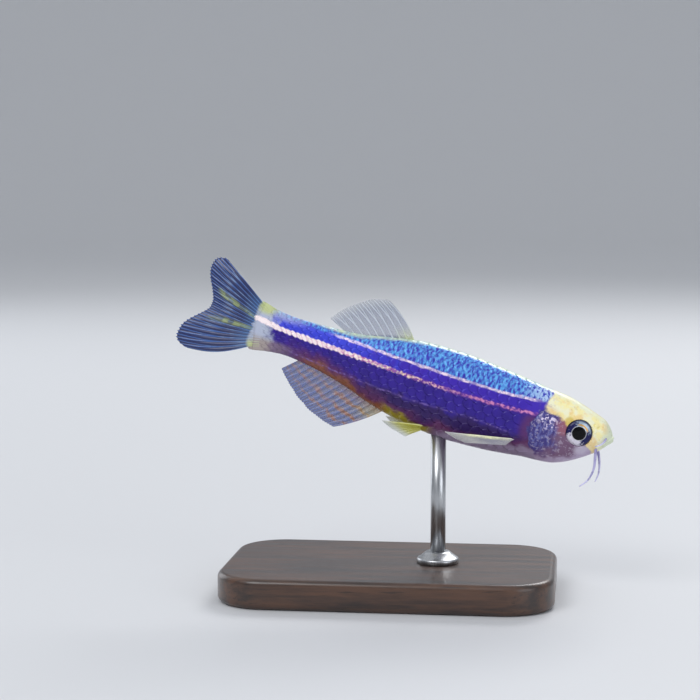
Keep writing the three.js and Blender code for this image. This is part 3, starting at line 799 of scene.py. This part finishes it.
def make_head_plate(name, side, front_line, rear_line, top, bottom, raise_by, material):
    """A thin plate that grows out of the skin in front and ends in a free rounded edge behind."""
    piece = Piece(name)
    ROWS, COLUMNS = 40, 26
    front = edge_curve(front_line)
    for r in range(ROWS + 1):
        down = r / ROWS
        h = mix(top, bottom, down)
        end_fade = sin(pi * down) ** 0.5
        for c in range(COLUMNS + 1):
            back_share = c / COLUMNS
            s = mix(front(-h), rear_line(-h), back_share)
            lift = mix(-0.05, raise_by, ease(back_share, 0, 0.75)) * end_fade - 0.06 * (1 - end_fade)
            lift -= (raise_by + 0.12) * ease(back_share, 0.93, 1.0) ** 2
            where = side_point(s, h, side, lift)
            piece.point(where, flesh_measures(min(s, gill_edge(-h) - 0.3), h, where.y))
    piece.faces = grid_faces(ROWS + 1, COLUMNS + 1, flip=side < 0)
    piece.make(material, "head_skin")


# Lips: two soft rolls along the line of the mouth
MOUTH_CORNER_S, MOUTH_CORNER_H = 1.3, -1.15


def make_lip(name, offset, radius, material):
    STEPS, FRONT = 72, 0.03
    middle = []
    for k in range(STEPS + 1):
        turn = (k / STEPS - 0.5) * pi
        s = FRONT + MOUTH_CORNER_S * (1 - cos(turn))
        h = mix(MOUTH_H + 0.05, MOUTH_CORNER_H, (s - FRONT) / MOUTH_CORNER_S) + offset
        y = copysign(side_at(max(s, 0.05), h) * 0.985, turn) * min(1, abs(turn) * 4)
        middle.append(at(s, h, y))
    rings = []
    for k, centre in enumerate(middle):
        ahead = middle[min(STEPS, k + 1)] - middle[max(0, k - 1)]
        out = ahead.cross(Vector((0, 0, 1))).normalized()
        thin = radius * (0.35 + 0.65 * sin(pi * k / STEPS) ** 0.6)
        rings.append((centre, out, out.cross(ahead).normalized(), thin))

    def measure(where, share):
        return flesh_measures(max(0.0, -where.x) * 0.7, 0.7, where.y)

    tube(name, rings, measure).make(material, "head_skin")


# Eyes
PUPIL_RADIUS = 0.68


def eye_material():
    p = Paint("eye", roughness=0.2, coat=0.15, coat_roughness=0.03)
    p.set("Specular IOR Level", 0.12)
    r, es, eh = p.measure("r"), p.measure("s"), p.measure("h")
    angle = p.math("ARCTAN2", p.math("SUBTRACT", eh, EYE_H), p.math("SUBTRACT", es, EYE_S))
    grain = p.noise(0.22, 3)
    TILT = -0.35
    vertical = p.math("SINE", p.add(angle, TILT))
    roughened = p.add(p.math("ABSOLUTE", vertical), p.stray(grain, 0.3))
    silver = p.rise(roughened, 0.45, 0.85)
    # The silver ring is near white on its lower arc and blue-grey above: its own silver colour, with a
    # painted highlight on the lower arc.
    bright = p.mix(srgb(232, 226, 240), srgb(166, 184, 200), p.rise(vertical, -0.2, 0.2))
    iris = p.mix(srgb(32, 32, 84), bright, silver)
    gold = p.window(r, PUPIL_RADIUS + 0.1, PUPIL_RADIUS + 0.24, 0.05)
    iris = p.mix(iris, srgb(214, 160, 70), p.rise(vertical, 0.6, 0.9), gold)
    iris = p.mix(iris, srgb(206, 206, 206), p.window(r, PUPIL_RADIUS, PUPIL_RADIUS + 0.07, 0.02), 0.7)
    iris = p.mix(iris, srgb(48, 50, 96), p.rise(r, 1.08, 1.24), p.rise(vertical, -0.9, -0.5), 0.85)
    colour = p.mix(srgb(2, 2, 5), iris, p.rise(r, PUPIL_RADIUS - 0.03, PUPIL_RADIUS + 0.02))
    p.set("Base Color", colour)
    p.set("Metallic", p.times(silver, p.rise(r, PUPIL_RADIUS, PUPIL_RADIUS + 0.05), 0.3))
    p.bump(grain, 0.02, 0.4)
    return p.material


def make_eye(name, node, side, material):
    """A flat dome with a slightly raised pupil, closed behind; it looks a little forwards."""
    piece = Piece(name)
    RINGS, SIDES = 40, 72
    EDGE_Y, BACK_Y, FRONT_Y = 1.63, 1.15, 2.18
    DOME, PUPIL_RAISE, LEAN_FORWARD = 0.5, 0.035, 0.135
    rings = []
    for k in range(1, RINGS + 1):
        r = EYE_RADIUS * sin(k / RINGS * pi / 2)
        dome = DOME * sqrt(max(0.0, 1 - (r / EYE_RADIUS) ** 2))
        dome += PUPIL_RAISE * (1 - ease(r, PUPIL_RADIUS - 0.12, PUPIL_RADIUS + 0.06))
        rings.append((r, EDGE_Y, dome))
    rings.append((EYE_RADIUS, BACK_Y, 0.0))
    for r, y, dome in rings:
        for c, d in circle(SIDES):
            s, h = EYE_S + r * c, EYE_H + r * d
            piece.point(at(s, h, side * (y + LEAN_FORWARD * (s - EYE_S) + dome)), {"s": s, "h": h, "r": r})
    piece.faces = grid_faces(RINGS + 1, SIDES, closed=True, flip=side > 0)
    for ring, depth in ((0, FRONT_Y), (RINGS, BACK_Y)):
        middle = piece.point(at(EYE_S, EYE_H, side * depth), {"s": EYE_S, "h": EYE_H, "r": 0.0})
        piece.fan(middle, ring * SIDES, SIDES, (ring == 0) != (side > 0))
    piece.make(material, "eyes", (node,))


# Fins: a thin pleated web over branching rays
WEB_HALF = 0.03
PLEAT = 0.05
COLUMNS_PER_RAY = 12
RAY_SPLIT = 0.25  # how far a ray's two branches part, as a share of the rays' spacing
RAY_WIDTH = (0.2, 0.1)  # at the root and at the tip, as a share of the spacing


def ray_height(w, v):
    """How much of a ray stands at w, a share of the rays' spacing from its middle, and v along it."""
    split = RAY_SPLIT * ease(v, 0.4, 0.95)
    width = mix(*RAY_WIDTH, v)
    nearest = min(abs(w - split), abs(w + split))
    return max(0.0, 1 - (nearest / width) ** 2)


RIDGE_TIP = 0.025
RAGGED = 0.02  # how far the web's edge lies inside the rays' tips, as a share of their length


def make_fin(node, route, rays, slot, material, rows=44, ridge=0.08, seed=1):
    """route(u, v) is a point of the fin's middle surface, u from first ray to last and v from root to tip."""
    piece = Piece("fin_" + node.replace("_fin", ""))
    luck = random.Random(seed)
    reach = [1 - luck.uniform(0.0, 0.02) for _ in range(rays)]
    columns = (rays - 1) * COLUMNS_PER_RAY + 1
    near, far = [], []
    STEP = 1e-3
    for c in range(columns):
        along_rays = c / COLUMNS_PER_RAY
        w = along_rays - min(rays - 1, round(along_rays))
        u = c / (columns - 1)
        i = min(rays - 2, int(along_rays))
        length = mix(reach[i], reach[i + 1], along_rays - i)
        length *= 1 - RAGGED * (1 - ray_height(w, 1.0))
        for r in range(rows + 1):
            share = r / rows
            v = share * length
            u0, v0 = min(max(u, STEP), 1 - STEP), min(max(v, STEP), 1 - STEP)
            middle = route(u, v)
            across = route(u0 + STEP, v) - route(u0 - STEP, v)
            along = route(u, v0 + STEP) - route(u, v0 - STEP)
            normal = across.cross(along).normalized()
            stand = ray_height(w, share)
            middle = middle + normal * PLEAT * cos(2 * pi * w) * sin(pi * share) ** 0.7
            half = WEB_HALF * mix(1.0, 0.6, share) + mix(ridge, RIDGE_TIP, share) * stand
            measures = {"u": u, "v": v, "ray": stand}
            near.append((middle + normal * half, measures))
            far.append((middle - normal * half, measures))
    for where, measures in near + far:
        piece.point(where, measures)
    piece.faces = plate_faces(columns, rows + 1, len(near), 0)
    piece.make(material, slot, (node,))


def median_route(s0, s1, edge, sink, margin, bow):
    (a_s, a_h), (b_s, b_h), (c_s, c_h) = margin

    def route(u, v):
        s = mix(s0, s1, u)
        h = edge(s) - copysign(sink, edge(s))
        tip_s = (1 - u) ** 2 * a_s + 2 * u * (1 - u) * b_s + u * u * c_s
        tip_h = (1 - u) ** 2 * a_h + 2 * u * (1 - u) * b_h + u * u * c_h
        off = Vector((tip_h - h, s - tip_s)).normalized()
        if off.x > 0:
            off = -off
        bulge = bow * (1 - u) * 4 * v * (1 - v)
        return at(mix(s, tip_s, v) + off.x * bulge, mix(h, tip_h, v) + off.y * bulge)

    return route


def tail_route(u, v):
    """The forked tail fin, its upper lobe swung a little to the left."""
    ROOT_TOP, ROOT_BOTTOM = 2.05, -2.5
    TILT, SPREAD = radians(5.5), radians(25)
    NOTCH, UPPER, LOWER = 4.9, 6.9, 7.9
    LOBE_AT, OUTER_DROP, SWING = 0.78, 0.15, 1.5
    SUNK, ROOT_GAP = 0.9, 0.25
    h = mix(ROOT_TOP, ROOT_BOTTOM, u)
    root_s = tail_edge(-h) + ROOT_GAP
    away = abs(2 * u - 1)
    rising = sin(min(1, away / LOBE_AT) * pi / 2) ** 2
    past = max(0.0, (away - LOBE_AT) / (1 - LOBE_AT))
    length = mix(NOTCH, UPPER if u < 0.5 else LOWER, rising) * (1 - OUTER_DROP * past * past)
    angle = TILT + SPREAD * (1 - 2 * u)
    reach = mix(-SUNK, length, v)
    free = max(0.0, reach / length)
    swing = SWING * free * free * (0.25 + 0.75 * (1 - u))
    bow = 0.1 if u < 0.5 else -0.55
    bulge = bow * away**2 * sin(pi * free)
    return at(root_s + reach * cos(angle), h + reach * sin(angle) + bulge, swing)


def paired_route(root_first, root_last, first, last, belly_out, leave, side):
    def route(u, v):
        root = [mix(a, b, u) for a, b in zip(root_first, root_last)]
        tip = [mix(a, b, u) for a, b in zip(first, last)]
        out = sin(pi * u) * belly_out
        y = mix(root[2], tip[2], 1 - (1 - v) ** leave)
        return at(mix(root[0], tip[0] + out, v), mix(root[1], tip[1], v), side * y)

    return route


def fin_paint(name, web, ray_colour, web_alpha, ray_alpha):
    """The start of a fin's finish: clear web between paler jointed rays."""
    JOINTS = 34
    p = Paint(name, roughness=0.3, coat=0.2, coat_roughness=0.2)
    p.u, p.v = p.measure("u"), p.measure("v")
    p.ray = p.rise(p.measure("ray"), 0.15, 0.75)
    joints = p.math("FRACT", p.times(p.v, JOINTS))
    p.bump(p.times(p.rise(joints, 0.82, 0.95), p.ray, p.rise(p.v, 0.2, 0.4)), -0.02, 0.6)
    return p, p.mix(web, ray_colour, p.ray), p.scaled(p.ray, 0, 1, web_alpha, ray_alpha)


def dorsal_material():
    p, colour, alpha = fin_paint("dorsal_fin", srgb(84, 100, 140), srgb(200, 206, 216), 0.3, 0.8)
    colour = p.mix(colour, srgb(206, 214, 120), p.rise(p.u, 0.35, 0.0), p.rise(p.v, 0.45, 0.05), 0.8)
    colour = p.mix(colour, srgb(226, 228, 226), p.rise(p.v, 0.75, 1.0), 0.5)
    alpha = p.math("MAXIMUM", alpha, p.times(p.rise(p.v, 0.3, 0.08), 0.7))
    return p.finish_with_painted_glow(colour, 0.06, alpha)


def anal_material():
    p, colour, alpha = fin_paint("anal_fin", srgb(54, 66, 132), srgb(116, 128, 178), 0.6, 0.9)
    level = p.add(p.v, p.stray(p.noise(1.0, 2), 0.05))
    for height, half in ((0.34, 0.035), (0.56, 0.035), (0.78, 0.02)):
        stripe = p.rise(p.off(level, height), half + 0.035, half - 0.02)
        patchy = p.scaled(p.rise(p.noise(0.8, 2), 0.4, 0.55), 0, 1, 0.35, 1.0)
        strength = p.times(stripe, patchy, p.scaled(p.u, 0, 1, 0.9, 0.5))
        colour = p.mix(colour, srgb(160, 104, 62), strength)
        alpha = p.math("MAXIMUM", alpha, p.times(strength, 0.9))
    colour = p.mix(colour, srgb(170, 158, 70), p.rise(p.u, 0.3, 0.0), p.rise(p.v, 0.6, 0.1), 0.8)
    colour = p.mix(colour, srgb(150, 92, 70), p.rise(p.v, 0.3, 0.12), 0.5)
    return p.finish_with_painted_glow(colour, 0.08, alpha)


def tail_material():
    p, colour, alpha = fin_paint("tail_fin", srgb(17, 32, 90), srgb(64, 98, 164), 0.86, 0.97)
    cloud = p.rise(p.noise(1.2, 3), 0.45, 0.65)
    colour = p.mix(colour, srgb(126, 152, 190), p.ray, cloud, p.window(p.v, 0.15, 0.75, 0.1), 0.6)
    for middle, drift in ((0.36, -0.05), (0.6, 0.04)):
        streak = p.rise(p.off(p.u, p.scaled(p.v, 0, 1, middle, middle + drift)), 0.055, 0.015)
        patchy = p.scaled(p.rise(p.noise(0.9, 2), 0.42, 0.55), 0, 1, 0.25, 0.75)
        colour = p.mix(colour, srgb(158, 172, 104), streak, p.window(p.v, 0.1, 0.8, 0.08), patchy)
    colour = p.mix(colour, srgb(84, 132, 188), p.rise(p.v, 0.4, 0.12), p.scaled(p.ray, 0, 1, 0.35, 0.8))
    root = p.rise(p.v, 0.17, 0.12)
    corner = p.rise(p.off(p.u, 0.5), 0.28, 0.45)
    colour = p.mix(colour, p.mix(TAIL_BASE, TAIL_CORNER, corner), root, 0.9)
    colour = p.mix(colour, STRIPE_PEACH, p.rise(p.off(p.u, 0.36), 0.07, 0.03), root)
    return p.finish_with_painted_glow(colour, 0.06, alpha)


def pectoral_material():
    p, colour, alpha = fin_paint("pectoral_fin", srgb(190, 190, 204), srgb(232, 232, 222), 0.42, 0.9)
    patchy = p.scaled(p.noise(0.5, 2), 0.35, 0.6, 0.6, 1.0)
    lead = p.times(p.rise(p.u, 0.36, 0.12), p.window(p.v, 0.2, 0.74, 0.14), patchy)
    colour = p.mix(colour, srgb(244, 244, 200), lead)
    alpha = p.math("MAXIMUM", alpha, p.times(lead, 0.97))
    return p.finish_with_painted_glow(colour, 0.12, alpha)


def pelvic_material():
    p, colour, alpha = fin_paint("pelvic_fin", srgb(186, 182, 70), srgb(216, 216, 140), 0.6, 0.95)
    colour = p.mix(colour, srgb(214, 218, 214), p.rise(p.v, 0.6, 1.0))
    return p.finish_with_painted_glow(colour, 0.1, alpha)


def make_fins():
    dorsal = median_route(21.2, 27.3, back, 0.7, [(25.4, 6.4), (28.3, 5.75), (30.3, 2.75)], 0.4)
    make_fin("dorsal_fin", dorsal, 10, "median_fins", dorsal_material(), seed=2)
    anal = median_route(21.9, 31.4, belly, 0.7, [(26.7, -7.6), (30.6, -7.0), (33.4, -3.65)], 0.25)
    make_fin("anal_fin", anal, 15, "median_fins", anal_material(), seed=3)
    make_fin("tail_fin", tail_route, 19, "tail_fin", tail_material(), rows=56, seed=4)
    pectoral_finish, pelvic_finish = pectoral_material(), pelvic_material()
    for word, side in SIDE_WORDS:
        route = paired_route(
            (8.35, -2.5, 1.35), (8.6, -3.2, 1.05), (15.9, -3.95, 3.1), (13.7, -4.55, 1.95), 0.35, 2.6, side
        )
        make_fin(f"pectoral_fin_{word}", route, 10, "paired_fins", pectoral_finish, ridge=0.06, seed=5)
        route = paired_route(
            (17.2, -4.2, 0.95), (17.6, -4.5, 0.35), (22.2, -5.1, 1.75), (19.5, -6.05, 0.85), 0.3, 1.6, side
        )
        make_fin(f"pelvic_fin_{word}", route, 8, "paired_fins", pelvic_finish, ridge=0.06, seed=6)


# Barbels
LONG_BARBEL = {
    "right": [(1.35, -0.95, -0.7), (1.15, -1.7, -1.5), (0.9, -3.0, -1.75), (1.1, -4.2, -1.75),
              (1.7, -5.1, -1.6)],
    "left": [(1.35, -0.95, 0.7), (0.85, -1.7, 1.45), (0.35, -2.8, 1.8), (0.12, -3.8, 1.85), (0.2, -4.7, 1.8)],
}
SHORT_BARBEL = [(0.75, 0.3, 0.5), (0.7, 0.0, 1.2), (0.95, -0.45, 1.55), (1.5, -0.85, 1.8)]


def barbel_material():
    p = Paint("barbel", roughness=0.35, coat=0.3, coat_roughness=0.2)
    v = p.measure("v")
    colour = p.mix(srgb(150, 144, 190), srgb(206, 204, 236), p.rise(v, 0.1, 0.9))
    colour = p.mix(colour, srgb(92, 84, 150), p.rise(p.noise(0.5, 2), 0.5, 0.65), 0.5)
    p.bump(p.noise(0.12, 2), 0.01)
    return p.finish_with_painted_glow(colour, 0.12)


def curve_through(points, t):
    """A point at t, from 0 to 1, on a smooth line through the points."""
    spans = len(points) - 1
    i = min(spans - 1, int(t * spans))
    u = t * spans - i
    before = points[max(0, i - 1)]
    a, b = points[i], points[i + 1]
    after = points[min(spans, i + 2)]
    return (a * 2 + (b - before) * u + (before * 2 - a * 5 + b * 4 - after) * u * u
            + (a * 3 - before - b * 3 + after) * u**3) / 2


def make_barbel(kind, word, places, root_radius, tip_radius, material):
    STEPS = 60
    points = [at(*p) for p in places]
    route = [curve_through(points, k / STEPS) for k in range(STEPS + 1)]
    across = Vector((1, 0, 0))
    rings = []
    for k, centre in enumerate(route):
        ahead = (route[min(STEPS, k + 1)] - route[max(0, k - 1)]).normalized()
        across = (across - ahead * across.dot(ahead)).normalized()
        share = k / STEPS
        radius = mix(root_radius, tip_radius, share) * sqrt(max(0.02, 1 - ease(share, 0.94, 1.0)))
        rings.append((centre, across, ahead.cross(across), radius))
    piece = tube(f"barbel_{kind}_{word}", rings, lambda where, share: {"v": share})
    piece.make(material, "barbels", (f"{kind}_barbel_{word}",))


def make_barbels():
    finish = barbel_material()
    for word, side in SIDE_WORDS:
        make_barbel("long", word, LONG_BARBEL[word], 0.17, 0.06, finish)
        make_barbel("short", word, [(s, h, side * y) for s, h, y in SHORT_BARBEL], 0.13, 0.05, finish)


# The stand
def wood_material():
    p = Paint("stained_wood", roughness=0.38, coat=0.5, coat_roughness=0.22)
    grain = p.noise(1.1, 6, stretch=(0.09, 1.0, 1.0), roughness=0.65, lean=0)
    pores = p.noise(0.22, 2, stretch=(0.06, 1.0, 1.0), lean=0)
    colour = p.mix(srgb(40, 26, 20), srgb(86, 56, 38), p.rise(grain, 0.35, 0.68))
    colour = p.mix(colour, srgb(22, 14, 11), p.rise(pores, 0.6, 0.72), 0.7)
    p.set("Base Color", colour)
    p.set("Roughness", p.scaled(grain, 0.3, 0.7, 0.34, 0.5))
    p.bump(p.add(grain, p.times(pores, 0.4)), 0.025, 0.5)
    return p.material


def steel_material():
    p = Paint("brushed_steel", roughness=0.3, metallic=1.0)
    lines = p.noise(0.07, 3, stretch=(1.0, 1.0, 0.03), lean=0)
    p.set("Base Color", p.mix(srgb(172, 174, 178), srgb(196, 198, 200), p.rise(lines, 0.35, 0.65)))
    p.set("Roughness", p.scaled(lines, 0.3, 0.7, 0.26, 0.36))
    p.bump(lines, 0.004, 0.15)
    return p.material


CORNER_STEPS = 14


def slab_mesh(low, high, corner, bevel):
    """A slab with round corners and rounded top and bottom edges."""
    half, middle = (high - low) / 2, (high + low) / 2
    quarter = arc(7)
    outline = []
    for k, (sx, sy) in enumerate(((1, 1), (-1, 1), (-1, -1), (1, -1))):
        for i in range(CORNER_STEPS + 1):
            turn = (k + i / CORNER_STEPS) * pi / 2
            outline.append((sx * (half.x - corner), sy * (half.y - corner), cos(turn), sin(turn)))
    rings = [(bevel * (1 - d), low.z + bevel * (1 - c)) for c, d in quarter]
    rings += [(bevel * (1 - c), high.z - bevel * (1 - d)) for c, d in quarter]
    points = []
    for inset, z in rings:
        reach = corner - inset
        points += [(middle.x + x + c * reach, middle.y + y + d * reach, z) for x, y, c, d in outline]
    return points, tube_faces(len(rings), len(outline))


def lathe_points(x, y, profile, sides):
    return [(x + radius * c, y + radius * d, z) for radius, z in profile for c, d in circle(sides)]


def lathe_mesh(x, y, profile, sides=64):
    return lathe_points(x, y, profile, sides), tube_faces(len(profile), sides)


def make_stand_piece(word, shape, material):
    points, faces = shape
    add_piece(word, new_mesh(word, points, faces, material, flat_caps=True), (f"stand_{word}",))


def make_stand():
    low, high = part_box("stand_base")
    make_stand_piece("base", slab_mesh(low, high, 5 * MM, 0.6 * MM), wood_material())
    steel = steel_material()
    base_top = high.z
    low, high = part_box("stand_collar")
    x, y = (low.x + high.x) / 2, (low.y + high.y) / 2
    radius = (high.x - low.x) / 2
    lip = 0.22 * MM
    lip_base = base_top + 0.35 * MM
    profile = [(radius, base_top)]
    profile += [(radius - lip + c * lip, lip_base + d * lip) for c, d in arc(8)]
    profile += [(radius * 0.62, high.z - 0.1 * MM), (radius * 0.55, high.z), (radius * 0.36, high.z)]
    make_stand_piece("collar", lathe_mesh(x, y, profile), steel)
    low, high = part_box("stand_rod")
    radius = (high.x - low.x) / 2
    profile = [(radius, base_top + 0.2 * MM), (radius, high.z + 0.25 * MM)]
    make_stand_piece("rod", lathe_mesh((low.x + high.x) / 2, y, profile, 48), steel)


# The set: a pale floor that curves up behind, soft lights and the camera at the photo's angle
PHOTO_SIDE = 700
SNOUT_PIXEL = (612, 441)
SNOUT_DISTANCE = 0.1912
AZIMUTH, ELEVATION = radians(7), radians(5.5)
LENS, SENSOR = 100.0, 36.0


def look(thing, direction):
    thing.rotation_mode = "QUATERNION"
    thing.rotation_quaternion = direction.to_track_quat("-Z", "Y")


def make_camera():
    backwards = Vector((
        sin(AZIMUTH) * cos(ELEVATION),
        -cos(AZIMUTH) * cos(ELEVATION),
        sin(ELEVATION),
    ))
    right = Vector((cos(AZIMUTH), sin(AZIMUTH), 0))
    up = backwards.cross(right)
    per_pixel = SENSOR / LENS * SNOUT_DISTANCE / PHOTO_SIDE
    off_x = (SNOUT_PIXEL[0] - PHOTO_SIDE / 2) * per_pixel
    off_y = (SNOUT_PIXEL[1] - PHOTO_SIDE / 2) * per_pixel
    data = bpy.data.cameras.new("camera")
    data.lens = LENS
    data.sensor_width = SENSOR
    data.clip_start = 0.005
    camera = add_object("camera", data)
    camera.location = place(at(0, 0)) + backwards * SNOUT_DISTANCE - right * off_x + up * off_y
    look(camera, -backwards)
    bpy.context.scene.camera = camera


def make_light(name, where, towards, size, power, colour=(1, 1, 1)):
    data = bpy.data.lights.new(name, "AREA")
    data.shape = "DISK"
    data.size = size
    data.energy = power
    data.color = colour
    light = add_object(name, data)
    light.location = where
    look(light, Vector(towards) - light.location)


def make_set():
    """A pale round floor that curves up all round, so that it fills the view from any side."""
    RADIUS, CURVE, TOP = 1.4, 0.6, 0.9
    SIDES = 96
    profile = [(0.02, 0.0), (0.2, 0.0)]
    profile += [(RADIUS - CURVE + CURVE * d, CURVE * (1 - c)) for c, d in arc(24)]
    profile.append((RADIUS, TOP))
    points = [(0.0, 0.0, 0.0)] + lathe_points(0, 0, profile, SIDES)
    faces = grid_faces(len(profile), SIDES, start=1, closed=True, flip=True)
    faces += [[0, 1 + i, 1 + (i + 1) % SIDES] for i in range(SIDES)]
    p = Paint("floor", roughness=0.6)
    p.set("Base Color", (0.66, 0.67, 0.69, 1))
    floor = add_object("floor", new_mesh("floor", points, faces, p.material))

    middle = (0.0, 0.0, 0.02)
    make_light("key", (-0.16, -0.26, 0.3), middle, 0.22, 0.6)
    make_light("fill", (0.3, -0.22, 0.12), middle, 0.25, 0.3, (0.93, 0.96, 1.0))
    make_light("rim", (0.1, 0.3, 0.28), middle, 0.2, 0.6)
    make_light("far_side", (-0.3, 0.24, 0.12), middle, 0.25, 0.25, (0.93, 0.96, 1.0))
    world = bpy.data.worlds.new("studio")
    world.use_nodes = True
    background = world.node_tree.nodes["Background"]
    background.inputs["Color"].default_value = (0.92, 0.95, 1.0, 1)
    background.inputs["Strength"].default_value = 0.68
    bpy.context.scene.world = world
    bpy.context.scene.view_settings.view_transform = "Standard"


make_set()
make_camera()
skin_paint = paint_flesh("skin", is_coat=False)
coat_paint = paint_flesh("scale_coat", is_coat=True)
eye_paint = eye_material()
make_skin(skin_paint)
for word, side in SIDE_WORDS:
    make_scales(f"scales_{word}", side, coat_paint)
preopercle = edge_curve([(s + 0.25, h) for s, h in COVER_FRONT])
for word, side in SIDE_WORDS:
    make_head_plate(f"gill_cover_{word}", side, COVER_FRONT, gill_edge, 1.15, -3.35, 0.15, skin_paint)
    make_head_plate(f"cheek_plate_{word}", side, CHEEK_FRONT, preopercle, 0.5, -2.6, 0.05, skin_paint)
make_lip("upper_lip", 0.11, 0.14, skin_paint)
make_lip("lower_lip", -0.17, 0.17, skin_paint)
for word, side in SIDE_WORDS:
    make_eye(f"eyeball_{word}", f"eye_{word}", side, eye_paint)
make_fins()
make_barbels()
make_stand()
